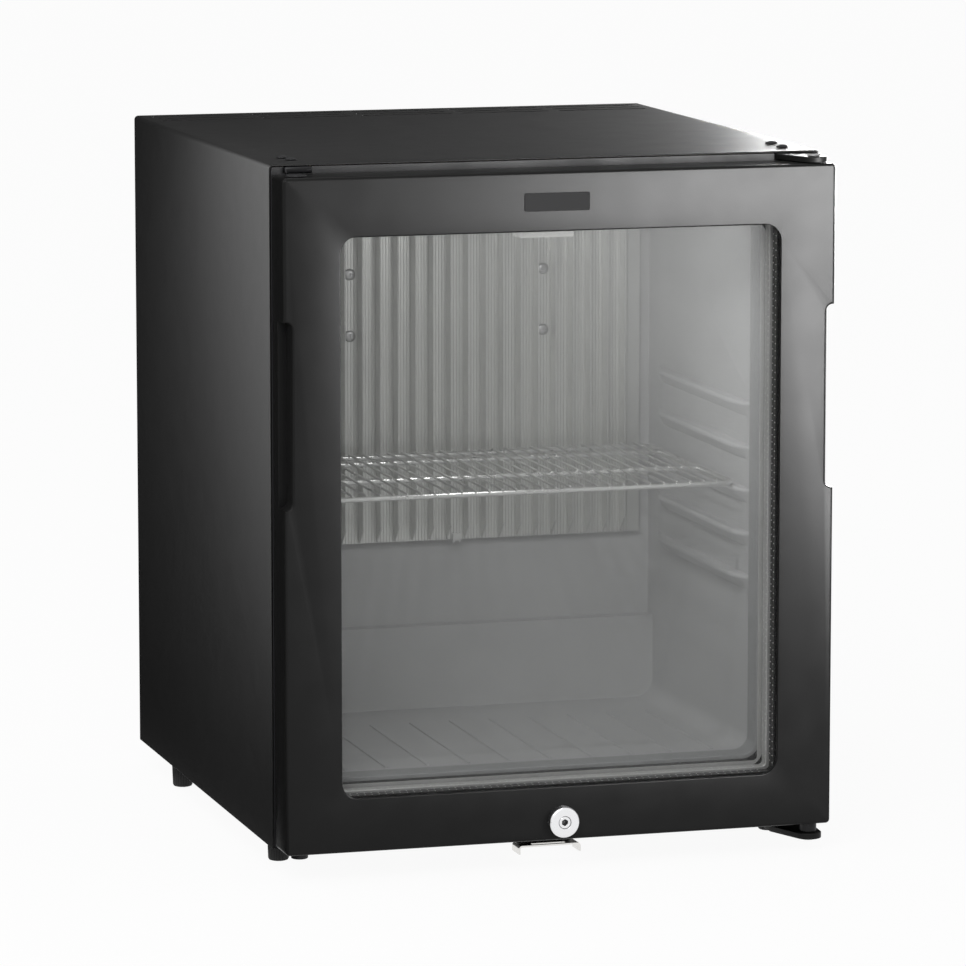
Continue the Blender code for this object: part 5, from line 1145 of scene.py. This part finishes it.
def build_shelf(sizes):
    """A bent frame wire with two cross wires, and thin wires welded on top with a nub at each crossing."""
    thick, thin = sizes.frame_wire, sizes.thin_wire
    height, half, front, back = 0.2573, 0.153, 0.043, 0.238
    outline = rounded_rect(-half, half, front, back, sizes.corner, 10)
    shape = pipe([(x, y, height) for x, y in outline], thick, closed=True)
    crossings = (0.122, 0.206)
    for y in crossings:
        pipe([(-half, y, height), (half, y, height)], thick, shape=shape)
    sunk = 0.0005
    level = height + thick + thin - sunk
    tip = arc((0, 0), 1, 80, 0, 3)
    wire = [(thin * u, front - thin + thin * 0.5 * (1 - v)) for u, v in tip]
    wire += [(thin * u, back + thin - thin * 0.5 * (1 - v)) for u, v in reversed(tip)]
    weld_end, weld_side, weld_top = (0.0006, 0.0022), (thin * 0.95, 0.0013), (thin * 1.12, 0.0004)
    for i in range(sizes.wires):
        x = (i - (sizes.wires - 1) / 2) * sizes.pitch
        turned(wire, "y", (x, level), 12, shape=shape)
        for y in (front, *crossings, back):
            nub = [(u, -v) for u, v in (weld_end, weld_side, weld_top)] + [weld_top, weld_side, weld_end]
            turned(nub, "y", (x, level - 0.0006), 10, shape=shape, start=y)
    piece("welded_shelf", shape, "shelf_wire", "wire_shelf", "shelf", smooth=60)


def build_feet():
    """Fluted feet on threaded studs."""
    top, radius, edge, points = SEAT, 0.008, 0.0015, 96
    flutes, flute, plain = 24, 0.00045, 0.0003
    turns, stud = 14, 0.0165
    profile = [(0.0021, 0), (0.0012, 0.0004), (0.0006, edge), (0.0003, top * 0.5), (0, top - edge)]
    profile += [(0.0004, top - 0.0006), (edge, top)]
    thread = []
    for i in range(turns):
        z = top - 0.0005 + stud * i / turns
        thread += [(0.0030, z), (0.0026, z + stud / turns / 2)]
    for node, (x, y) in FOOT_PLACES.items():
        loops = []
        for inset, z in profile:
            loop = []
            for i in range(points):
                angle = 2 * math.pi * i / points
                groove = flute * (0.5 - 0.5 * math.cos(flutes * angle)) ** 2
                reach = radius - inset - (groove if 0.0003 < z < top - 0.0001 else plain)
                loop.append((x + reach * math.cos(angle), y + reach * math.sin(angle), z))
            loops.append(loop)
        shape = loft(bmesh.new(), loops)
        turned(thread, "z", (x, y), 24, shape=shape)
        piece(node + "_moulded", shape, "foot_rubber", node, node, smooth=35)


def hat_outline(middle):
    """A folded top-hat rail from the side, open towards the rear panel."""
    half, sheet, flange = 0.011, RAIL_SHEET, 0.008
    back, web, bend, inner = RAIL_FRONT, RAIL_FRONT + 0.012, 0.0022, 0.0008
    high = middle + half
    upper = [(web, high, bend), (back + sheet, high, inner), (back + sheet, high + flange, 0)]
    upper += [(back, high + flange, 0), (back, high - sheet, bend), (web - sheet, high - sheet, inner)]
    lower = [(y, 2 * middle - z, radius) for y, z, radius in reversed(upper)]
    return softened(upper + lower, 4)


def build_rails():
    """Three folded cross rails, with the screws that hold them to the rear panel."""
    half, spread = 0.192, 0.0152
    places = []
    for side, z in (("lower", LOWER_RAIL_Z), ("middle", MIDDLE_RAIL_Z), ("upper", UPPER_RAIL_Z)):
        rail = prism(hat_outline(z), "x", -half, half)
        piece(side + "_rail_folded", rail, "galvanised", side + "_rail", bevel=0.0002, smooth=25)
        places += [(x, z + rise) for x in (-0.180, -0.060, 0.060, 0.180) for rise in (-spread, spread)]
    screw_heads("rail_screws", places, RAIL_FRONT + RAIL_SHEET, 0.003, 0.0014)


def build_boiler(sizes):
    """The boiler's beaded casing, its heater sleeve and the riser to the condenser."""
    radius = sizes.boiler_radius
    y, low, high = UNIT_FRONT + radius, 0.060, 0.310
    wall, bead = radius - 0.0015, 0.003
    rim = [(radius - 0.003, 0), (radius - 0.0012, 0.0004), (radius, 0.0016), (radius, 0.006), (wall, 0.0078)]
    profile = [(0.0045, low)] + [(reach, low + rise) for reach, rise in rim]
    for middle in (low + 0.070, low + 0.125, low + 0.180):
        swell = [(wall + 0.0015 * v, middle - bead * u) for u, v in arc((0, 0), 1, 0, 180, 8)]
        profile += [(wall, middle - bead), *swell, (wall, middle + bead)]
    profile += [(reach, high - rise) for reach, rise in reversed(rim)]
    profile += [(0.014, high), (0.0125, high - 0.001), (0.0075, high - 0.001)]
    jacket = turned(profile, "z", (BOILER_X, y), 64)
    piece("boiler_jacket", jacket, "galvanised", "boiler_casing", smooth=50)
    sleeve = turned([(0.004, 0.0522), (0.004, 0.0597)], "z", (BOILER_X, y), 32)
    piece("heater_tube", sleeve, "zinc", "heater_sleeve", bevel=0.0004)
    rear, top = UNIT_FRONT + sizes.fin_half, UPPER_RAIL_Z
    rise = top - high
    corners = [(BOILER_X, y, high + GAP), (BOILER_X, y, high + rise * 0.15)]
    corners += [(BOILER_X, rear, high + rise * 0.7), (BOILER_X, rear, top), (0.090 + GAP, rear, top)]
    riser = pipe(bent(corners, 0.014, 10), 0.007, 24)
    piece("vapour_riser", riser, "tube_paint", "boiler_riser")


def build_condenser(sizes):
    """Square fins pressed on a tube, each with a collar."""
    half, sheet, margin = sizes.fin_half, 0.001, 0.010
    y, z = UNIT_FRONT + half, UPPER_RAIL_Z
    left, right = -0.150, 0.090
    shape = turned([(0.008, left), (0.008, right)], "x", (y, z), 40)
    pitch = (right - left - 2 * margin) / (sizes.fins - 1)
    outline = grown((y, y, z, z), half, 0.003, 4)
    collar = ((0.0090, -0.002), (0.0096, -0.0004), (0.0096, 0.0004), (0.0090, 0.002))
    for i in range(sizes.fins):
        x = left + margin + i * pitch
        prism(outline, "x", x - sheet / 2, x + sheet / 2, shape)
        turned(collar, "x", (y, z), 32, shape=shape, start=x)
    piece("finned_condenser", shape, "tube_paint", "condenser", bevel=0.0002, smooth=35)


def coil_path(sizes):
    """A run in from the rear panel, the serpentine, and a drop to the vessel."""
    y, pitch, bend, turn = UNIT_FRONT + sizes.coil_radius, sizes.coil_pitch, sizes.coil_pitch / 2, 0.0104
    top, left, right, drop_x = 0.372, -0.165 + bend, 0.052 - bend, -0.140
    points = bent([(right + bend, RAIL_FRONT, top), (right + bend, y, top), (right, y, top)], turn)
    for run in range(sizes.coil_runs - 1):
        z = top - run * pitch
        side, end = ((-1, left), (1, right))[run % 2]
        for i in range(13):
            angle = math.pi * i / 12
            points.append((end + side * bend * math.sin(angle), y, z - bend + bend * math.cos(angle)))
    z = top - (sizes.coil_runs - 1) * pitch
    vessel_y = UNIT_FRONT + sizes.vessel_radius
    vessel_top = LOWER_RAIL_Z + sizes.vessel_radius + GAP
    drop = z - vessel_top
    corners = [(left, y, z), (drop_x, y, z), (drop_x, y, z - drop * 0.3)]
    corners += [(drop_x, vessel_y, z - drop * 0.65), (drop_x, vessel_y, vessel_top)]
    return points + bent(corners, turn)[1:]


def build_coil(sizes):
    piece("serpentine", pipe(coil_path(sizes), sizes.coil_radius, 20), "tube_paint", "absorber_coil")


def build_vessel(sizes):
    """The absorber's domed vessel with its weld seams."""
    radius, edge, seam = sizes.vessel_radius, 0.008, sizes.vessel_radius - 0.0009
    left, right = -0.160, VESSEL_RIGHT
    axis = (UNIT_FRONT + radius, LOWER_RAIL_Z)
    profile = [(radius - edge + u, left + edge - v) for u, v in arc((0, 0), edge, 90, 0, 8)]
    profile += [(radius - edge + u, right - edge + v) for u, v in arc((0, 0), edge, 0, 90, 8)]
    piece("absorber_tank", turned(profile, "x", axis, 64), "tube_paint", "absorber_vessel", smooth=40)
    bead = [(seam + 0.0011 * v, -0.002 * u) for u, v in arc((0, 0), 1, 0, 180, 6)]
    bead = [(seam - 0.001, -0.0022), *bead, (seam - 0.001, 0.0022)]
    seams = bmesh.new()
    for place in (left + edge + 0.003, right - edge - 0.003):
        turned(bead, "x", axis, hollow=True, shape=seams, start=place)
    piece("tank_seams", seams, "tube_paint", smooth=50)


def build_exchanger(sizes):
    """The heat exchanger and the boiler's feed tube, both from the end of the vessel."""
    start, y = VESSEL_RIGHT + GAP, UNIT_FRONT + sizes.vessel_radius
    x, z, top = 0.074, LOWER_RAIL_Z + 0.00525, 0.385
    corners = [(start, y, z), (x, y, z), (x, y, top), (x, RAIL_FRONT, top)]
    exchanger = pipe(bent(corners, 0.016, 10), 0.009, 28)
    piece("exchanger_tube", exchanger, "tube_paint", "heat_exchanger")
    y, z = UNIT_FRONT + sizes.boiler_radius, LOWER_RAIL_Z - 0.021
    feed = pipe([(start, y, z), (BOILER_X - sizes.boiler_radius, y, z)], 0.004, 20)
    piece("feed_tube", feed, "tube_paint", "boiler_feed")


def build_control_box():
    """The control box on the base, with vent ribs on top, its inlet and two screws."""
    low, high = Vector((0.095, 0.325, 0.0203)), Vector((0.180, 0.395, 0.0523))
    case = piece("control_case", box(low, high), "black_plastic", "control_box")
    vents, pitch, half, margin = 6, 0.0114, 0.0015, 0.008
    slots = bmesh.new()
    for i in range(vents):
        x = low.x + 0.014 + i * pitch
        outline = rounded_rect(x - half, x + half, low.y + 0.012, high.y - 0.030, 0.0014, 4)
        prism(outline, "z", high.z - 0.0012, high.z + 0.001, slots)
    carve(case, slots)
    round_edges(case, 0.0012, 3)
    profile = [(0.004, 0), (0.007, 0), (0.007, 0.0036), (0.0066, 0.0042), (0.0058, 0.0086), (0.0054, 0.009)]
    inlet = turned([*profile, (0.004, 0.009)], "y", (0.1375, 0.0363), 40, True, start=high.y + GAP)
    piece("inlet_sleeve", inlet, "black_plastic", "power_inlet")
    places = [(x, high.z - margin) for x in (low.x + margin, high.x - margin)]
    screw_heads("control_case_screws", places, high.y, 0.003, 0.0014)


def staged(name, faces, material):
    """A part of the studio, made of flat faces."""
    shape = bmesh.new()
    for corners in faces:
        shape.faces.new([shape.verts.new(corner) for corner in corners])
    mesh = bpy.data.meshes.new(name)
    shape.to_mesh(mesh)
    shape.free()
    mesh.materials.append(material)
    obj = linked(name, mesh)
    return obj


def add_lamp(name, place, target, radius, power):
    lamp = bpy.data.lights.new(name, "AREA")
    lamp.shape = "DISK"
    lamp.size = 2 * radius
    lamp.energy = power
    obj = linked(name, lamp)
    obj.location = place
    obj.rotation_euler = (Vector(place) - Vector(target)).to_track_quat("Z", "Y").to_euler()
    return obj


def build_surroundings(scene, settings):
    """A plain pale floor in white surroundings."""
    scene.world = scene.world or bpy.data.worlds.new("surroundings")
    sky = Finish("surroundings", scene.world)
    even = sky.add("Background", {"Color": WHITE, "Strength": settings.sky})
    sky.done("MixShader", {0: sky.seen(), 1: even, 2: sky.add("Background", {"Color": WHITE})}, "World")

    floor = Finish("pale_floor")
    tone = floor.mix(floor.noise(0.02, 3), tinted(settings.floor, 0.99), tinted(settings.floor, 1.01))
    share = floor.sum(floor.seen(), 0.94, "MULTIPLY")
    matt = floor.add("BsdfDiffuse", {"Color": tone})
    glow = floor.add("Emission", {"Color": WHITE, "Strength": 1.0})
    reach = 30.0
    corners = ((-reach, -reach, 0), (reach, -reach, 0), (reach, reach, 0), (-reach, reach, 0))
    staged("floor", [corners], floor.done("MixShader", {0: share, 1: matt, 2: glow}))


def build_cards():
    """Dark cards behind the object, on the floor and upright, that only gloss sees."""
    card = Finish("dark_card")
    tone = card.mix(card.noise(0.3, 2), (0.01, 0.01, 0.01, 1), (0.015, 0.015, 0.015, 1))
    lying = ((-6, -0.4, 0.001), (-0.21, -0.4, 0.001), (-0.21, 6, 0.001), (-6, 6, 0.001))
    upright = ((-6, 6, 0), (7, 6, 0), (7, 6, 5), (-6, 6, 5))
    cards = staged("cards", [lying, upright], card.done("BsdfDiffuse", {"Color": tone}))
    for kind in ("camera", "diffuse", "transmission", "volume_scatter", "shadow"):
        setattr(cards, "visible_" + kind, False)


def build_lights(settings):
    """Soft lamps, the fridge's own lamp, and lamps that give gloss alone to some of the pieces."""
    middle = (0, 0, 0.25)
    add_lamp("front_lamp", (-1.15, -2.1, 2.0), middle, 0.7, settings.front)
    place = Vector((0, FRONT + 0.011, LAMP_LOW - 0.0005))
    inside = add_lamp("inside_lamp", place, place - Vector((0, -0.3, 1)), 0.008, settings.inside)
    inside.visible_camera = False
    add_lamp("side_lamp", (-2.0, 0.1, 1.4), middle, 0.45, settings.side)
    for name, (place, target, radius, pieces) in SHEENS.items():
        lamp = add_lamp(name, place, target, radius, getattr(settings, name))
        lamp.visible_diffuse = lamp.visible_camera = False
        lit = bpy.data.collections.new(name + "_lit")
        for lit_name in pieces:
            lit.objects.link(bpy.data.objects[lit_name])
        lamp.light_linking.receiver_collection = lit


def build_camera(scene, settings):
    camera = bpy.data.cameras.new("camera")
    camera.sensor_width = 36
    camera.lens = settings.lens
    camera.clip_end = 200
    yaw, pitch = math.radians(CAMERA_YAW), math.radians(CAMERA_PITCH)
    forward = Vector((math.sin(yaw) * math.cos(pitch), math.cos(yaw) * math.cos(pitch), math.sin(pitch)))
    right = Vector((math.cos(yaw), -math.sin(yaw), 0))
    turn = Matrix((right, right.cross(forward), -forward)).transposed().to_4x4()
    scene.camera = linked("camera", camera)
    scene.camera.matrix_world = Matrix.Translation(CAMERA_PLACE) @ turn


class FRIDGE_OT_finishes(bpy.types.Operator):
    """Makes every finish, and puts each on the CAD nodes of its slot"""

    bl_idname = "fridge.finishes"
    bl_label = "Finishes"

    def execute(self, context):
        finishes.update(make_finishes(context.scene.fridge_colours))
        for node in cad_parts.values():
            for slot in node.material_slots:
                slot.material = finishes[slot.material.name.split(".")[0]]
        return {"FINISHED"}


class FRIDGE_OT_cabinet(bpy.types.Operator):
    """Builds the folded wrap, the base, the mouth's plate and trim, and the rear panel"""

    bl_idname = "fridge.cabinet"
    bl_label = "Cabinet"

    def execute(self, context):
        build_wrap(context.scene.fridge_cabinet)
        dressed("base_panel", "base_tray", "painted_steel", 0.0003, 2)
        build_mouth()
        build_rear_panel()
        return {"FINISHED"}


class FRIDGE_OT_liner(bpy.types.Operator):
    """Builds the moulded liner with its shelf ledges and floor ribs"""

    bl_idname = "fridge.liner"
    bl_label = "Liner"

    def execute(self, context):
        build_liner(context.scene.fridge_cabinet)
        return {"FINISHED"}


class FRIDGE_OT_cold_plate(bpy.types.Operator):
    """Builds the finned cold plate, its screws and its clip"""

    bl_idname = "fridge.cold_plate"
    bl_label = "Cold plate"

    def execute(self, context):
        build_cold_plate(context.scene.fridge_cabinet)
        build_plate_screws()
        build_clip()
        return {"FINISHED"}


class FRIDGE_OT_lamp(bpy.types.Operator):
    """Builds the lamp in the top of the mouth"""

    bl_idname = "fridge.lamp"
    bl_label = "Lamp"

    def execute(self, context):
        build_lamp()
        return {"FINISHED"}


class FRIDGE_OT_hinges(bpy.types.Operator):
    """Builds both hinges, and the caps and cover of the unused side"""

    bl_idname = "fridge.hinges"
    bl_label = "Hinges"

    def execute(self, context):
        build_upper_hinge()
        build_caps()
        build_lower_hinge()
        return {"FINISHED"}


class FRIDGE_OT_keeper(bpy.types.Operator):
    """Builds the keeper under the front and its screws"""

    bl_idname = "fridge.keeper"
    bl_label = "Keeper"

    def execute(self, context):
        build_keeper()
        return {"FINISHED"}


class FRIDGE_OT_door(bpy.types.Operator):
    """Builds the door's moulding, glazing and fittings"""

    bl_idname = "fridge.door"
    bl_label = "Door"

    def execute(self, context):
        build_door_moulding(context.scene.fridge_door)
        build_spacers(context.scene.fridge_door)
        build_back_frame()
        build_seal()
        build_door_fittings()
        return {"FINISHED"}


class FRIDGE_OT_lock(bpy.types.Operator):
    """Builds the cam lock"""

    bl_idname = "fridge.lock"
    bl_label = "Lock"

    def execute(self, context):
        build_lock()
        return {"FINISHED"}


class FRIDGE_OT_shelf(bpy.types.Operator):
    """Builds the welded wire shelf"""

    bl_idname = "fridge.shelf"
    bl_label = "Shelf"

    def execute(self, context):
        build_shelf(context.scene.fridge_shelf)
        return {"FINISHED"}


class FRIDGE_OT_feet(bpy.types.Operator):
    """Builds the four screw-in feet"""

    bl_idname = "fridge.feet"
    bl_label = "Feet"

    def execute(self, context):
        build_feet()
        return {"FINISHED"}


class FRIDGE_OT_cooling_unit(bpy.types.Operator):
    """Builds the cooling unit of the rear bay, with its rails and control box"""

    bl_idname = "fridge.cooling_unit"
    bl_label = "Cooling unit"

    def execute(self, context):
        build_rails()
        for build in (build_boiler, build_condenser, build_vessel, build_coil, build_exchanger):
            build(context.scene.fridge_unit)
        build_control_box()
        return {"FINISHED"}


class FRIDGE_OT_studio(bpy.types.Operator):
    """Sets the floor, the light and the camera"""

    bl_idname = "fridge.studio"
    bl_label = "Studio"

    def execute(self, context):
        scene, settings = context.scene, context.scene.fridge_studio
        scene.view_settings.view_transform = "Standard"
        scene.cycles.transparent_max_bounces = 32
        build_surroundings(scene, settings)
        build_lights(settings)
        build_cards()
        build_camera(scene, settings)
        return {"FINISHED"}


OPERATORS = (
    FRIDGE_OT_finishes,
    FRIDGE_OT_cabinet,
    FRIDGE_OT_liner,
    FRIDGE_OT_cold_plate,
    FRIDGE_OT_lamp,
    FRIDGE_OT_hinges,
    FRIDGE_OT_keeper,
    FRIDGE_OT_door,
    FRIDGE_OT_lock,
    FRIDGE_OT_shelf,
    FRIDGE_OT_feet,
    FRIDGE_OT_cooling_unit,
    FRIDGE_OT_studio,
)


class FRIDGE_PT_panel(bpy.types.Panel):
    """Lists the steps that build the fridge, and the sizes and colours they use"""

    bl_idname = "FRIDGE_PT_panel"
    bl_label = "Minibar fridge"
    bl_space_type = "VIEW_3D"
    bl_region_type = "UI"
    bl_category = "Fridge"

    def draw(self, context):
        for operator in OPERATORS:
            self.layout.operator(operator.bl_idname)
        for name in GROUPS:
            group = getattr(context.scene, name)
            column = self.layout.column(align=True)
            for key in group.__annotations__:
                column.prop(group, key)


CLASSES = (*GROUPS.values(), *OPERATORS, FRIDGE_PT_panel)


def register():
    for cls in CLASSES:
        bpy.utils.register_class(cls)
    for name, cls in GROUPS.items():
        setattr(bpy.types.Scene, name, PointerProperty(type=cls))


def unregister():
    for name in GROUPS:
        delattr(bpy.types.Scene, name)
    for cls in reversed(CLASSES):
        bpy.utils.unregister_class(cls)


def main():
    register()
    for operator in OPERATORS:
        getattr(bpy.ops.fridge, operator.bl_idname.partition(".")[2])()


if __name__ == "__main__":
    main()
